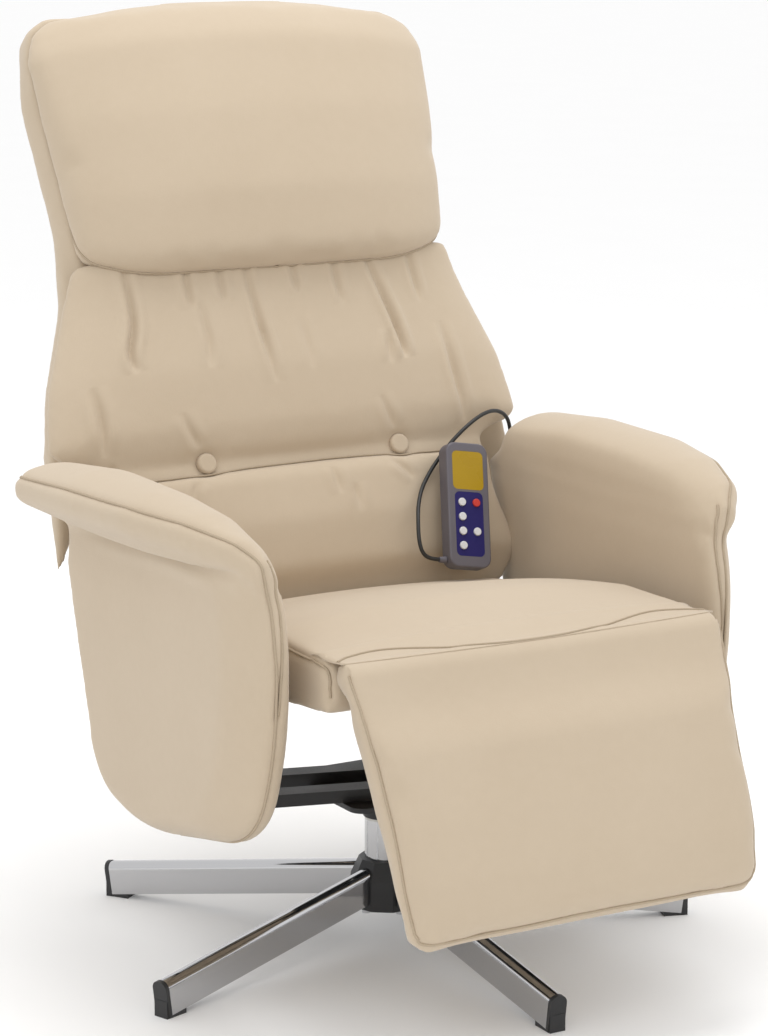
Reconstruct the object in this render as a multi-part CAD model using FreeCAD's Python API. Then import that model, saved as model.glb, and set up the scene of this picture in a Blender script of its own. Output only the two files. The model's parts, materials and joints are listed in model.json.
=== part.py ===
import FreeCAD, Part
import math
import os

# Massage recliner chair on a five-leg star base.
# Millimetres. The chair faces -Y, +Z is up, the origin is on the floor under the swivel axis.
# Left and right are those of a person who sits in it: left is +X.

# Star base
LEG_COUNT = 5
LEG_REACH = 374.0
LEG_WIDTH = 20.0
LEG_HEIGHT = 40.0
LEG_WALL = 1.5
LEG_ROUND = 9.0
LEG_SLOPE = 8.0
LEG_AXIS_HEIGHT = 74.4
LEG_ROOT_RADIUS = 30.0
CAP_LENGTH = 5.0
CAP_LIP = 0.8
CAP_PLUG = 24.0
PLUG_CLEARANCE = 0.15
GLIDE_LENGTH = 30.0
HUB_RADIUS = 42.0
HUB_TOP_RADIUS = 32.0
HUB_BOTTOM = 40.0
HUB_TOP = 98.0
SOCKET_CLEARANCE = 0.2
BOLT_RADIUS = 3.0
BOLT_HEAD_RADIUS = 5.0
BOLT_HEAD_HEIGHT = 4.0
BOLT_CIRCLE = 34.5
BOLT_END = 10.0
COLUMN_RADIUS = 25.0
COLUMN_WALL = 2.5
COLUMN_TOP = 146.0
COLUMN_LIP_WIDTH = 2.5
COLUMN_LIP_HEIGHT = 4.0
COLUMN_CLEARANCE = 0.05

# Swivel
SPINDLE_RADIUS = 16.0
RUNNING_FIT = 0.05
BUSH_LENGTH = 36.0
BUSH_FLANGE = 3.0
SPINDLE_FOOT = 52.0
COLLAR_RADIUS = 27.0
COLLAR_HEIGHT = 9.0
SPINDLE_TOP_RADIUS = 20.0
PLATE_BOTTOM = 185.0
PLATE_WIDTH = 180.0
PLATE_THICK = 6.0
FACE_GAP = 0.3

# Seat frame
CROSS_HEIGHT = 15.0
CROSS_WIDTH = 30.0
CROSS_SWEEP = 16.0
CROSS_FRONT_Y = -66.0
CROSS_REAR_Y = 14.0
SIDE_INNER = 261.0
SIDE_THICK = 5.0
HINGE_BEHIND_SEAT = 24.5
HINGE_Z = 345.0
SHAFT_RADIUS = 10.0
JOURNAL_RADIUS = 8.0
JOURNAL_END = 2.0
PIVOT_RING = 20.0

# Seat
SEAT_FRONT_Y = -291.5
SEAT_FRONT_Z = 434.0
SEAT_SLOPE = 5.0
SEAT_LENGTH = 432.0
SEAT_HALF_WIDTH = 240.0
SEAT_THICK = 50.0
SEAT_CROWN = 20.0
SEAT_EDGE_RISE = 9.0
BOARD_THICK = 12.0
BOARD_INSET = 6.0

# Arms
ARM_INNER = 270.3
ARM_INNER_PAD = 21.4
ARM_BOARD = 15.0
ARM_OUTER_PAD = 19.0
ARM_BOARD_SHARE = 0.90
ARM_POCKET_SHARE = 0.903
ARM_TOP = 503.0
ARM_FRONT_Y = -275.0
ARM_PAST_HINGE = 21.0
ARM_BOTTOM = 192.0
REST_OUTER = 390.0
REST_PAST_HINGE = 32.0
REST_FRONT_Y = -262.0
REST_TOP = 588.0
REST_LIP_RISE = 53.0
REST_END_INSET = 16.0
REST_FRONT_RUN = 26.0
STUD_RADIUS = 9.0
STUD_CLEARANCE = 1.0

# Back
BACK_TILT = 20.5
BACK_BEHIND_HINGE = 35.0
BACK_Z = 551.0
CUSHION_BACK = 20.0
FRAME_THICK = 12.0
SHELL_DEPTH = 44.0
LUMBAR_HALF_WIDTH = 262.0
SHELL_LOW_HALF_WIDTH = 236.0
LUMBAR_BOTTOM = -162.0
LUMBAR_TAIL = 24.0
WING_HALF_WIDTH = 318.0
WAIST_HALF_WIDTH = 250.0
HEAD_HALF_WIDTH = 271.0
HEAD_BOTTOM = 231.0
BACK_TOP = 572.0
BRACKET_INNER = 244.0
BRACKET_THICK = 6.0
BRACKET_ROOM = 1.5
BUTTON_X = 133.0
BUTTON_RADIUS = 13.0
BUTTON_THICK = 7.0
TUFT_RADIUS = 30.0
TUFT_DEPTH = 18.0

# Footrest
NOSE_RADIUS = 22.0
NOSE_GAP = 4.5
FOOT_HINGE_Z = 413.0
FOOT_TILT = 23.5
FOOT_LENGTH = 298.0
FOOT_TOP_HALF_WIDTH = 242.0
FOOT_END_HALF_WIDTH = 226.0
FOOT_BOARD_THICK = 12.0
FOOT_CROWN = 9.0
FOOT_EDGE_RISE = 6.0
CLEVIS_X = 150.0
HINGE_ARM_THICK = 6.0
HINGE_ARM_LENGTH = 95.0
HINGE_ARM_DEPTH = 16.0
HINGE_ARM_TIP = 8.0
CLEVIS_EAR = 8.0
CLEVIS_GAP = 1.0
CLEVIS_RADIUS = 11.0
CLEVIS_PLATE = 4.0
CLEVIS_PLATE_END = 80.0
CLEVIS_LEG_END = 60.0
CLEVIS_HEEL = 20.0
LUG_START = 30.0
LUG_END = 90.0
LUG_FOOT_WIDTH = 16.0
FOOT_PIN_RADIUS = 5.0

# Push rod from the back to the footrest
RECLINE_ANGLE = 30.0
FOOT_ANGLE = 60.0
FOOT_CRANK = 66.0
ROD_X = 97.0
ROD_THICK = 6.0
ROD_HEIGHT = 14.0
ROD_PIN_RADIUS = 4.0
CRANK_GAP = 4.0
ROD_SIDE_PLAY = 0.9
ROD_EYE = 9.0

# Massage motors
MOTOR_RADIUS = 22.0
MOTOR_HEIGHT = 14.0
POCKET_CLEARANCE = 3.0
BACK_MOTOR_X = 120.0
HEAD_MOTOR_RISE = 400.0
MID_MOTOR_RISE = 150.0
SEAT_MOTOR_X = 100.0
SEAT_MOTOR_ALONG = 195.0

# Handset
HAND_LENGTH = 156.0
HAND_WIDTH = 58.0
HAND_DEPTH = 25.0
HAND_ROUND = 13.0
HAND_WALL = 2.5
HAND_X = 171.0
HAND_AHEAD = 68.0
HAND_Z = 408.5
HAND_ROLL = -9.6
HAND_LEAN = 21.0
SCREEN_WIDTH = 43.0
SCREEN_HEIGHT = 48.0
SCREEN_RISE = 121.0
KEYPAD_WIDTH = 39.0
KEYPAD_HEIGHT = 80.0
KEYPAD_RISE = 54.0
INLAY_DEPTH = 1.2
INLAY_CLEARANCE = 0.15
KEY_RADIUS = 5.0
KEY_CLEARANCE = 0.25
KEY_PROUD = 2.2
KEY_TRAVEL = 1.0
KEY_COLUMN = 10.0
KEY_ROW = 18.0
KEY_LENGTH = 8.0
RELIEF_RADIUS = 4.5
RELIEF_LENGTH = 9.0

# Control box
BOX_WIDTH = 86.0
BOX_LENGTH = 130.0
BOX_HEIGHT = 40.0
BOX_X = 192.0
BOX_ALONG = 250.0
INLET_RADIUS = 6.0
INLET_BORE = 2.75
INLET_DEPTH = 12.0

# Handset cord
CORD_RADIUS = 2.5
GROMMET_RADIUS = 6.0
GROMMET_LENGTH = 18.0
GROMMET_AHEAD = 3.0
GROMMET_Z = 462.0

# Places that follow from the sizes above
SIDE_OUTER = SIDE_INNER + SIDE_THICK
HINGE_Y = SEAT_FRONT_Y + SEAT_LENGTH + HINGE_BEHIND_SEAT
BACK_Y = HINGE_Y + BACK_BEHIND_HINGE
ARM_REAR_Y = HINGE_Y + ARM_PAST_HINGE
REST_REAR_Y = HINGE_Y + REST_PAST_HINGE
REST_RUN = REST_REAR_Y - REST_FRONT_Y
HAND_BOTTOM = (HAND_X, HINGE_Y - HAND_AHEAD, HAND_Z)
ARM_BOARD_IN = ARM_INNER + ARM_INNER_PAD + FACE_GAP
ARM_BOARD_OUT = ARM_BOARD_IN + ARM_BOARD
ARM_OUTER = ARM_BOARD_OUT + FACE_GAP + ARM_OUTER_PAD
PLATE_TOP = PLATE_BOTTOM + PLATE_THICK
FOOT_HINGE_Y = SEAT_FRONT_Y - NOSE_GAP - NOSE_RADIUS
ROD_TRAVEL = 2.0 * FOOT_CRANK * math.sin(math.radians(FOOT_ANGLE / 2.0))
BACK_CRANK = ROD_TRAVEL / (2.0 * math.sin(math.radians(RECLINE_ANGLE / 2.0)))
Z_AXIS = FreeCAD.Vector(0, 0, 1)
X_AXIS = FreeCAD.Vector(1, 0, 0)


class Frame:
    """A flat working frame: an origin, X across, a direction along and a direction out."""

    def __init__(self, origin, along, out):
        self.origin = FreeCAD.Vector(*origin)
        self.along = FreeCAD.Vector(*along)
        self.out = FreeCAD.Vector(*out)

    def at(self, across, along, out):
        return self.origin + X_AXIS * across + self.along * along + self.out * out


def tilt_frame(origin, along_yz, out_yz):
    return Frame(origin, (0,) + along_yz, (0,) + out_yz)


def cos_sin(degrees):
    return math.cos(math.radians(degrees)), math.sin(math.radians(degrees))


BACK_COS, BACK_SIN = cos_sin(BACK_TILT)
SEAT_COS, SEAT_SIN = cos_sin(SEAT_SLOPE)
FOOT_COS, FOOT_SIN = cos_sin(FOOT_TILT)
# Along the back is up, out is towards the rear.
BACK = tilt_frame((0, BACK_Y, BACK_Z), (BACK_SIN, BACK_COS), (BACK_COS, -BACK_SIN))
# Along the seat is towards the rear, out is up.
SEAT = tilt_frame((0, SEAT_FRONT_Y, SEAT_FRONT_Z), (SEAT_COS, -SEAT_SIN), (SEAT_SIN, SEAT_COS))
# Along the footrest is down from its hinge, out is towards the front.
FOOT = tilt_frame((0, FOOT_HINGE_Y, FOOT_HINGE_Z), (-FOOT_SIN, -FOOT_COS), (-FOOT_COS, FOOT_SIN))


def export(name, shape):
    shape.exportStep("parts/" + name + ".step")
    print(name, "solids", len(shape.Solids), "valid", shape.isValid(), "volume", round(shape.Volume))


def line(start, end):
    return Part.makeLine(start, end)


def arc(start, middle, end):
    return Part.Arc(start, middle, end).toShape()


def cylinder(radius, start, end):
    axis = end - start
    return Part.makeCylinder(radius, axis.Length, start, axis)


def cross_bar(radius, x_start, x_end, y, z):
    return cylinder(radius, FreeCAD.Vector(x_start, y, z), FreeCAD.Vector(x_end, y, z))


def slab(points, sweep):
    """A flat plate: a closed polygon of points, swept by a vector."""
    return Part.Face(Part.makePolygon(points + [points[0]])).extrude(sweep)


def frame_box(frame, across, along, out):
    """A block in a working frame, from pairs of lowest and highest values."""
    corners = [frame.at(across[0], a, o) for a, o in
               ((along[0], out[0]), (along[1], out[0]), (along[1], out[1]), (along[0], out[1]))]
    return slab(corners, X_AXIS * (across[1] - across[0]))


def crowned_section(frame, along, half_width, back, edge, crown, bulge):
    """One closed section of a cushion: flat back, swollen sides and a crowned face."""
    back_left = frame.at(-half_width, along, back)
    back_right = frame.at(half_width, along, back)
    edge_right = frame.at(half_width, along, edge)
    edge_left = frame.at(-half_width, along, edge)
    middle = 0.5 * (back + edge)
    return Part.Wire([
        line(back_left, back_right),
        arc(back_right, frame.at(half_width + bulge, along, middle), edge_right),
        arc(edge_right, frame.at(0, along, crown), edge_left),
        arc(edge_left, frame.at(-half_width - bulge, along, middle), back_left)])


def cushion(frame, stations, bulge=3.0):
    """A padded piece through stations of along, half width, back, edge and crown."""
    wires = [crowned_section(frame, *station, bulge) for station in stations]
    return Part.makeLoft(wires, True, True)


def common_turn(shape, degrees):
    turned = shape.copy()
    turned.rotate(FreeCAD.Vector(0, 0, 0), Z_AXIS, degrees)
    return turned


# Star base pieces, made along +X and turned to their places

def leg_heading(index):
    return -90.0 + index * 360.0 / LEG_COUNT


def leg_frame_place(shape):
    """Lean a shape made along +X down by the slope of a leg, at the height of its axis."""
    leaned = shape.copy()
    leaned.rotate(FreeCAD.Vector(0, 0, 0), FreeCAD.Vector(0, 1, 0), LEG_SLOPE)
    leaned.translate(FreeCAD.Vector(0, 0, LEG_AXIS_HEIGHT))
    return leaned


def leg_bar(grow, start, end):
    """A solid bar with the outer shape of a leg tube, grown all round."""
    half = LEG_WIDTH / 2.0 + grow
    low = -LEG_HEIGHT / 2.0 - grow
    high = LEG_HEIGHT / 2.0 + grow
    corner = LEG_ROUND + grow
    round_start = high - corner
    lean = corner * (1.0 - math.sqrt(0.5))
    section = Part.Wire([
        line(FreeCAD.Vector(start, -half, low), FreeCAD.Vector(start, half, low)),
        line(FreeCAD.Vector(start, half, low), FreeCAD.Vector(start, half, round_start)),
        arc(FreeCAD.Vector(start, half, round_start), FreeCAD.Vector(start, half - lean, high - lean),
            FreeCAD.Vector(start, half - corner, high)),
        line(FreeCAD.Vector(start, half - corner, high), FreeCAD.Vector(start, -half + corner, high)),
        arc(FreeCAD.Vector(start, -half + corner, high), FreeCAD.Vector(start, -half + lean, high - lean),
            FreeCAD.Vector(start, -half, round_start)),
        line(FreeCAD.Vector(start, -half, round_start), FreeCAD.Vector(start, -half, low))])
    return Part.Face(section).extrude(X_AXIS * (end - start))


LEG_END = (LEG_REACH - CAP_LENGTH) / math.cos(math.radians(LEG_SLOPE))


def base_leg():
    tube = leg_bar(0, LEG_ROOT_RADIUS, LEG_END).cut(leg_bar(-LEG_WALL, LEG_ROOT_RADIUS, LEG_END))
    return leg_frame_place(tube).cut(bolt_hole())


def leg_cap():
    head = leg_bar(CAP_LIP, LEG_END, LEG_END + CAP_LENGTH)
    plug = leg_bar(-LEG_WALL - PLUG_CLEARANCE, LEG_END - CAP_PLUG, LEG_END)
    cap = leg_frame_place(head.fuse(plug))
    glide = Part.makeBox(GLIDE_LENGTH, LEG_WIDTH, LEG_HEIGHT / 2.0,
                         FreeCAD.Vector(LEG_REACH - GLIDE_LENGTH, -LEG_WIDTH / 2.0, 0))
    glide = glide.cut(leg_frame_place(leg_bar(0, 0, LEG_END + CAP_LENGTH)))
    return cap.fuse(glide).removeSplitter()


def bolt_hole():
    """The hole for a leg bolt, through the hub's underside and the lower wall of the leg."""
    top = LEG_AXIS_HEIGHT - BOLT_CIRCLE * math.tan(math.radians(LEG_SLOPE))
    return cylinder(BOLT_RADIUS + SOCKET_CLEARANCE, FreeCAD.Vector(BOLT_CIRCLE, 0, 0),
                    FreeCAD.Vector(BOLT_CIRCLE, 0, top))


def leg_bolt():
    head = cylinder(BOLT_HEAD_RADIUS, FreeCAD.Vector(BOLT_CIRCLE, 0, HUB_BOTTOM - BOLT_HEAD_HEIGHT),
                    FreeCAD.Vector(BOLT_CIRCLE, 0, HUB_BOTTOM))
    shank = cylinder(BOLT_RADIUS, FreeCAD.Vector(BOLT_CIRCLE, 0, HUB_BOTTOM),
                     FreeCAD.Vector(BOLT_CIRCLE, 0, LEG_AXIS_HEIGHT - BOLT_END))
    return head.fuse(shank)


def facet_ring(radius, height):
    """A flat-sided ring with two facets for each leg, one of them square to the leg."""
    count = 2 * LEG_COUNT
    points = []
    for index in range(count):
        angle = math.radians(leg_heading(0) + (index + 0.5) * 360.0 / count)
        points.append(FreeCAD.Vector(radius * math.cos(angle), radius * math.sin(angle), height))
    return Part.makePolygon(points + [points[0]])


def base_hub():
    skirt = HUB_BOTTOM + 0.62 * (HUB_TOP - HUB_BOTTOM)
    rings = [facet_ring(HUB_RADIUS, HUB_BOTTOM), facet_ring(HUB_RADIUS, skirt), facet_ring(HUB_TOP_RADIUS, HUB_TOP)]
    hub = Part.makeLoft(rings, True, True)
    bore = cylinder(COLUMN_RADIUS + COLUMN_CLEARANCE, FreeCAD.Vector(0, 0, 0), FreeCAD.Vector(0, 0, HUB_TOP * 2))
    hub = hub.cut(bore)
    socket = leg_frame_place(leg_bar(SOCKET_CLEARANCE, LEG_ROOT_RADIUS - SOCKET_CLEARANCE, LEG_REACH))
    hole = bolt_hole()
    for index in range(LEG_COUNT):
        hub = hub.cut(common_turn(socket, leg_heading(index)))
        hub = hub.cut(common_turn(hole, leg_heading(index)))
    return hub


def base_column():
    outer = cylinder(COLUMN_RADIUS, FreeCAD.Vector(0, 0, HUB_BOTTOM), FreeCAD.Vector(0, 0, COLUMN_TOP))
    inner = cylinder(COLUMN_RADIUS - COLUMN_WALL, FreeCAD.Vector(0, 0, HUB_BOTTOM), FreeCAD.Vector(0, 0, COLUMN_TOP))
    lip = cylinder(COLUMN_RADIUS + COLUMN_LIP_WIDTH, FreeCAD.Vector(0, 0, HUB_BOTTOM - COLUMN_LIP_HEIGHT),
                   FreeCAD.Vector(0, 0, HUB_BOTTOM))
    mouth = cylinder(COLUMN_RADIUS - COLUMN_WALL, FreeCAD.Vector(0, 0, 0), FreeCAD.Vector(0, 0, HUB_BOTTOM))
    return outer.cut(inner).fuse(lip.cut(mouth)).removeSplitter()


def swivel_bushes():
    outer = COLUMN_RADIUS - COLUMN_WALL - COLUMN_CLEARANCE
    inner = SPINDLE_RADIUS + RUNNING_FIT

    def ring(radius, low, high):
        return cylinder(radius, FreeCAD.Vector(0, 0, low), FreeCAD.Vector(0, 0, high)).cut(
            cylinder(inner, FreeCAD.Vector(0, 0, low), FreeCAD.Vector(0, 0, high)))

    upper = ring(outer, COLUMN_TOP - BUSH_LENGTH, COLUMN_TOP)
    flange = ring(COLUMN_RADIUS, COLUMN_TOP, COLUMN_TOP + BUSH_FLANGE)
    lower = ring(outer, SPINDLE_FOOT, SPINDLE_FOOT + BUSH_LENGTH)
    return Part.makeCompound([upper.fuse(flange).removeSplitter(), lower])


# Swivel and seat frame pieces

def swivel_spindle():
    collar_low = COLUMN_TOP + BUSH_FLANGE + FACE_GAP
    collar_high = collar_low + COLLAR_HEIGHT
    shaft = cylinder(SPINDLE_RADIUS, FreeCAD.Vector(0, 0, SPINDLE_FOOT), FreeCAD.Vector(0, 0, collar_low))
    collar = cylinder(COLLAR_RADIUS, FreeCAD.Vector(0, 0, collar_low), FreeCAD.Vector(0, 0, collar_high))
    neck = cylinder(SPINDLE_TOP_RADIUS, FreeCAD.Vector(0, 0, collar_high), FreeCAD.Vector(0, 0, PLATE_BOTTOM))
    return shaft.fuse(collar).fuse(neck).removeSplitter()


def swivel_plate():
    half = PLATE_WIDTH / 2.0
    plate = Part.makeBox(PLATE_WIDTH, PLATE_WIDTH, PLATE_THICK, FreeCAD.Vector(-half, -half, PLATE_BOTTOM))
    upright = [edge for edge in plate.Edges if abs(edge.tangentAt(edge.FirstParameter).z) > 0.9]
    return plate.makeFillet(PLATE_WIDTH / 10.0, upright)


def cross_arm(y_middle):
    """A bar on the swivel plate that runs out to both side plates, swept back."""
    rise = SIDE_INNER * math.tan(math.radians(CROSS_SWEEP))
    front = y_middle - CROSS_WIDTH / 2.0
    rear = y_middle + CROSS_WIDTH / 2.0
    points = [FreeCAD.Vector(x, y, PLATE_TOP) for x, y in
              ((-SIDE_INNER, front + rise), (0, front), (SIDE_INNER, front + rise),
               (SIDE_INNER, rear + rise), (0, rear), (-SIDE_INNER, rear + rise))]
    return slab(points, Z_AXIS * CROSS_HEIGHT)


def seat_under(along):
    """The point under the seat board at a place along the seat."""
    return SEAT.at(0, along, -SEAT_THICK - FACE_GAP - BOARD_THICK)


def side_plate(side):
    rise = SIDE_INNER * math.tan(math.radians(CROSS_SWEEP))
    foot_front = CROSS_FRONT_Y + rise - CROSS_WIDTH
    foot_rear = CROSS_REAR_Y + rise + CROSS_WIDTH
    board_front = seat_under(SEAT_LENGTH * 0.2)
    board_rear = seat_under(SEAT_LENGTH)
    lift = BOARD_THICK + 8.0
    outline = [(foot_front, PLATE_TOP - 3.0), (foot_rear, PLATE_TOP - 3.0),
               (HINGE_Y + PIVOT_RING, HINGE_Z - PIVOT_RING), (HINGE_Y + PIVOT_RING, HINGE_Z + PIVOT_RING),
               (board_rear.y, board_rear.z + lift + 8.0), (board_front.y, board_front.z + lift),
               (board_front.y, board_front.z - lift)]
    start = SIDE_INNER if side > 0 else -SIDE_OUTER
    plate = slab([FreeCAD.Vector(start, y, z) for y, z in outline], X_AXIS * SIDE_THICK)
    bore = cross_bar(JOURNAL_RADIUS + RUNNING_FIT, start - 1.0, start + SIDE_THICK + 1.0, HINGE_Y, HINGE_Z)
    return plate.cut(bore)


def seat_board():
    under = -SEAT_THICK - FACE_GAP
    return frame_box(SEAT, (-SIDE_INNER, SIDE_INNER), (BOARD_INSET, SEAT_LENGTH - BOARD_INSET),
                     (under - BOARD_THICK, under))


def motor_can(frame, x, along, floor, direction):
    """A vibration motor can that stands on a board: floor is the board's face."""
    foot = frame.at(x, along, floor)
    top = frame.at(x, along, floor + direction * MOTOR_HEIGHT)
    flange = frame.at(x, along, floor + direction * MOTOR_HEIGHT * 0.25)
    can = cylinder(MOTOR_RADIUS, foot, top)
    return can.fuse(cylinder(MOTOR_RADIUS + POCKET_CLEARANCE / 2.0, foot, flange)).removeSplitter()


def motor_pocket(frame, x, along, floor, direction):
    foot = frame.at(x, along, floor - direction * 1.0)
    top = frame.at(x, along, floor + direction * (MOTOR_HEIGHT + POCKET_CLEARANCE))
    return cylinder(MOTOR_RADIUS + POCKET_CLEARANCE, foot, top)


def both_sides(make, x):
    return [make(-x), make(x)]


def seat_motor(x):
    return motor_can(SEAT, x, SEAT_MOTOR_ALONG, -SEAT_THICK - FACE_GAP, 1.0)


def seat_cushion():
    wide = SEAT_HALF_WIDTH
    pad = cushion(SEAT, [
        (0.0, wide - 9.0, -SEAT_THICK, -11.0, -4.0),
        (12.0, wide, -SEAT_THICK, -1.0, 5.0),
        (SEAT_LENGTH * 0.3, wide - 4.0, -SEAT_THICK, SEAT_EDGE_RISE, SEAT_CROWN),
        (SEAT_LENGTH * 0.5, wide - 5.0, -SEAT_THICK, SEAT_EDGE_RISE * 0.5, SEAT_CROWN * 0.8),
        (SEAT_LENGTH * 0.7, wide - 5.0, -SEAT_THICK, -9.0, SEAT_CROWN * 0.49),
        (SEAT_LENGTH - 14.0, wide - 3.0, -SEAT_THICK, -12.0, -2.0),
        (SEAT_LENGTH, wide - 9.0, -SEAT_THICK, -20.0, -14.0)])
    for x in (-SEAT_MOTOR_X, SEAT_MOTOR_X):
        pad = pad.cut(motor_pocket(SEAT, x, SEAT_MOTOR_ALONG, -SEAT_THICK, 1.0))
    return pad


# Arms

def arm_outline(x, share, swept=False):
    """The side view of an arm panel as lines and arcs, shrunk about its middle, or swept to the rear and top."""
    centre_y = 0.5 * (ARM_FRONT_Y + ARM_REAR_Y)
    centre_z = 0.5 * (ARM_BOTTOM + ARM_TOP)
    share_z = share
    if swept:
        centre_y = ARM_REAR_Y
        centre_z = ARM_TOP
        share_z = 0.5 * (1.0 + share)

    def at(y, z):
        return FreeCAD.Vector(x, centre_y + (y - centre_y) * share, centre_z + (z - centre_z) * share_z)

    rear_top = at(ARM_REAR_Y, ARM_TOP)
    rear_low = at(ARM_REAR_Y - 78.0, ARM_BOTTOM + 70.0)
    bottom_rear = at(ARM_REAR_Y - 148.0, ARM_BOTTOM + 5.0)
    bottom_front = at(ARM_FRONT_Y + 112.0, ARM_BOTTOM + 12.0)
    front_low = at(ARM_FRONT_Y + 21.0, ARM_BOTTOM + 96.0)
    front_mid = at(ARM_FRONT_Y, ARM_BOTTOM + 218.0)
    front_top = at(ARM_FRONT_Y + 14.0, ARM_TOP)
    return Part.Wire([
        line(rear_top, rear_low),
        arc(rear_low, at(ARM_REAR_Y - 100.0, ARM_BOTTOM + 24.0), bottom_rear),
        arc(bottom_rear, at(ARM_REAR_Y - 230.0, ARM_BOTTOM), bottom_front),
        arc(bottom_front, at(ARM_FRONT_Y + 52.0, ARM_BOTTOM + 42.0), front_low),
        arc(front_low, at(ARM_FRONT_Y + 5.0, ARM_BOTTOM + 155.0), front_mid),
        arc(front_mid, at(ARM_FRONT_Y + 2.0, ARM_BOTTOM + 266.0), front_top),
        line(front_top, rear_top)])


def arm_panel(side, near, far, shares, swept=False):
    """A padded panel between two distances from the middle, through shrunk outlines."""
    wires = [arm_outline(side * (near + (far - near) * place), share, swept) for place, share in shares]
    return Part.makeLoft(wires, True, True)


def arm_board(side):
    face = Part.Face(arm_outline(side * ARM_BOARD_IN, ARM_BOARD_SHARE))
    return face.extrude(X_AXIS * side * ARM_BOARD)


STUD_PLACES = ((-130.0, 330.0), (60.0, 300.0), (60.0, 240.0))


def arm_studs():
    studs = []
    for side in (-1, 1):
        for y, z in STUD_PLACES:
            studs.append(cross_bar(STUD_RADIUS, side * SIDE_OUTER, side * ARM_BOARD_IN, y, z))
    return Part.makeCompound(studs)


def arm_inner_pad(side):
    pad = arm_panel(side, ARM_INNER + ARM_INNER_PAD, ARM_INNER, ((0.0, 1.0), (0.45, 0.995), (0.8, 0.98), (1.0, 0.95)))
    for y, z in STUD_PLACES:
        pad = pad.cut(cross_bar(STUD_RADIUS + STUD_CLEARANCE, side * SIDE_OUTER, side * ARM_BOARD_IN, y, z))
    return pad


def arm_outer_pad(side):
    """The outer padding, full at the rear and swept thin at the front, with a pocket that takes the board."""
    pad = arm_panel(side, ARM_BOARD_IN, ARM_OUTER,
                    ((0.0, 1.0), (0.23, 0.985), (0.52, 0.955), (0.79, 0.915), (1.0, 0.865)), True)
    pocket = Part.Face(arm_outline(side * ARM_BOARD_IN, ARM_POCKET_SHARE))
    pad = pad.cut(pocket.extrude(X_AXIS * side * (ARM_BOARD + FACE_GAP)))
    if side > 0:
        pad = pad.cut(grommet_bar(GROMMET_RADIUS + FACE_GAP, GROMMET_LENGTH))
    return pad


def rest_section(side, y, inner, outer, low, top, lip):
    """A section across an arm's top pad: crowned, with a lip that flares outwards."""
    def at(x, z):
        return FreeCAD.Vector(side * x, y, z)

    shoulder = top - 16.0
    root = ARM_OUTER - 4.0
    if root > outer - 12.0:
        root = outer - 12.0
    return Part.Wire([
        line(at(root, low), at(inner + 4.0, low)),
        arc(at(inner + 4.0, low), at(inner, 0.5 * (low + shoulder)), at(inner + 8.0, shoulder)),
        arc(at(inner + 8.0, shoulder), at(inner + 0.45 * (outer - inner), top), at(outer - 9.0, lip + 18.0)),
        arc(at(outer - 9.0, lip + 18.0), at(outer, lip), at(outer - 12.0, lip - 17.0)),
        line(at(outer - 12.0, lip - 17.0), at(root, low))])


def arm_rest(side):
    low = ARM_TOP + FACE_GAP
    inner = ARM_INNER + 3.0

    def lip(share):
        return ARM_TOP + REST_LIP_RISE * share

    def station(share):
        return REST_FRONT_Y + REST_RUN * share

    wires = [
        rest_section(side, REST_REAR_Y, inner + 8.0, REST_OUTER - 14.0, low + 10.0, REST_TOP - 22.0, lip(0.78)),
        rest_section(side, REST_REAR_Y - REST_END_INSET, inner, REST_OUTER, low, REST_TOP - 12.0, lip(0.87)),
        rest_section(side, station(0.7), inner, REST_OUTER, low, REST_TOP, lip(0.96)),
        rest_section(side, station(0.4), inner, REST_OUTER - 10.0, low, REST_TOP - 2.0, lip(1.0)),
        rest_section(side, station(0.2), inner, REST_OUTER - 32.0, low, REST_TOP - 11.0, lip(0.93)),
        rest_section(side, REST_FRONT_Y + REST_FRONT_RUN, inner + 1.0, ARM_OUTER + 5.0, low, REST_TOP - 31.0, lip(0.74)),
        rest_section(side, REST_FRONT_Y, inner + 6.0, ARM_OUTER - 16.0, low, REST_TOP - 50.0, lip(0.33))]
    return Part.makeLoft(wires, True, True)


# Back

def tuft(x):
    """The hollow that a sewn button pulls into the cushions."""
    tip = BACK.at(x, 0, TUFT_DEPTH - CUSHION_BACK)
    mouth = BACK.at(x, 0, -2.0 * CUSHION_BACK)
    return Part.makeCone(BUTTON_RADIUS, TUFT_RADIUS, (mouth - tip).Length, tip, mouth - tip)


def tuft_button(x):
    foot = BACK.at(x, 0, TUFT_DEPTH - CUSHION_BACK)
    top = BACK.at(x, 0, TUFT_DEPTH - CUSHION_BACK - BUTTON_THICK)
    stem = BACK.at(x, 0, CUSHION_BACK + FACE_GAP)
    button = cylinder(BUTTON_RADIUS - 0.4, foot, top)
    rim = [edge for edge in button.Edges if edge.Closed and (edge.CenterOfMass - top).Length < 1.0]
    button = button.makeFillet(BUTTON_THICK * 0.55, rim)
    return button.fuse(cylinder(2.0, stem, foot)).removeSplitter()


def button_stem_hole(x):
    return cylinder(2.3, BACK.at(x, 0, CUSHION_BACK + 1.0), BACK.at(x, 0, -CUSHION_BACK))


def tufted(pad):
    for x in (-BUTTON_X, BUTTON_X):
        pad = pad.cut(tuft(x)).cut(button_stem_hole(x))
    return pad


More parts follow.
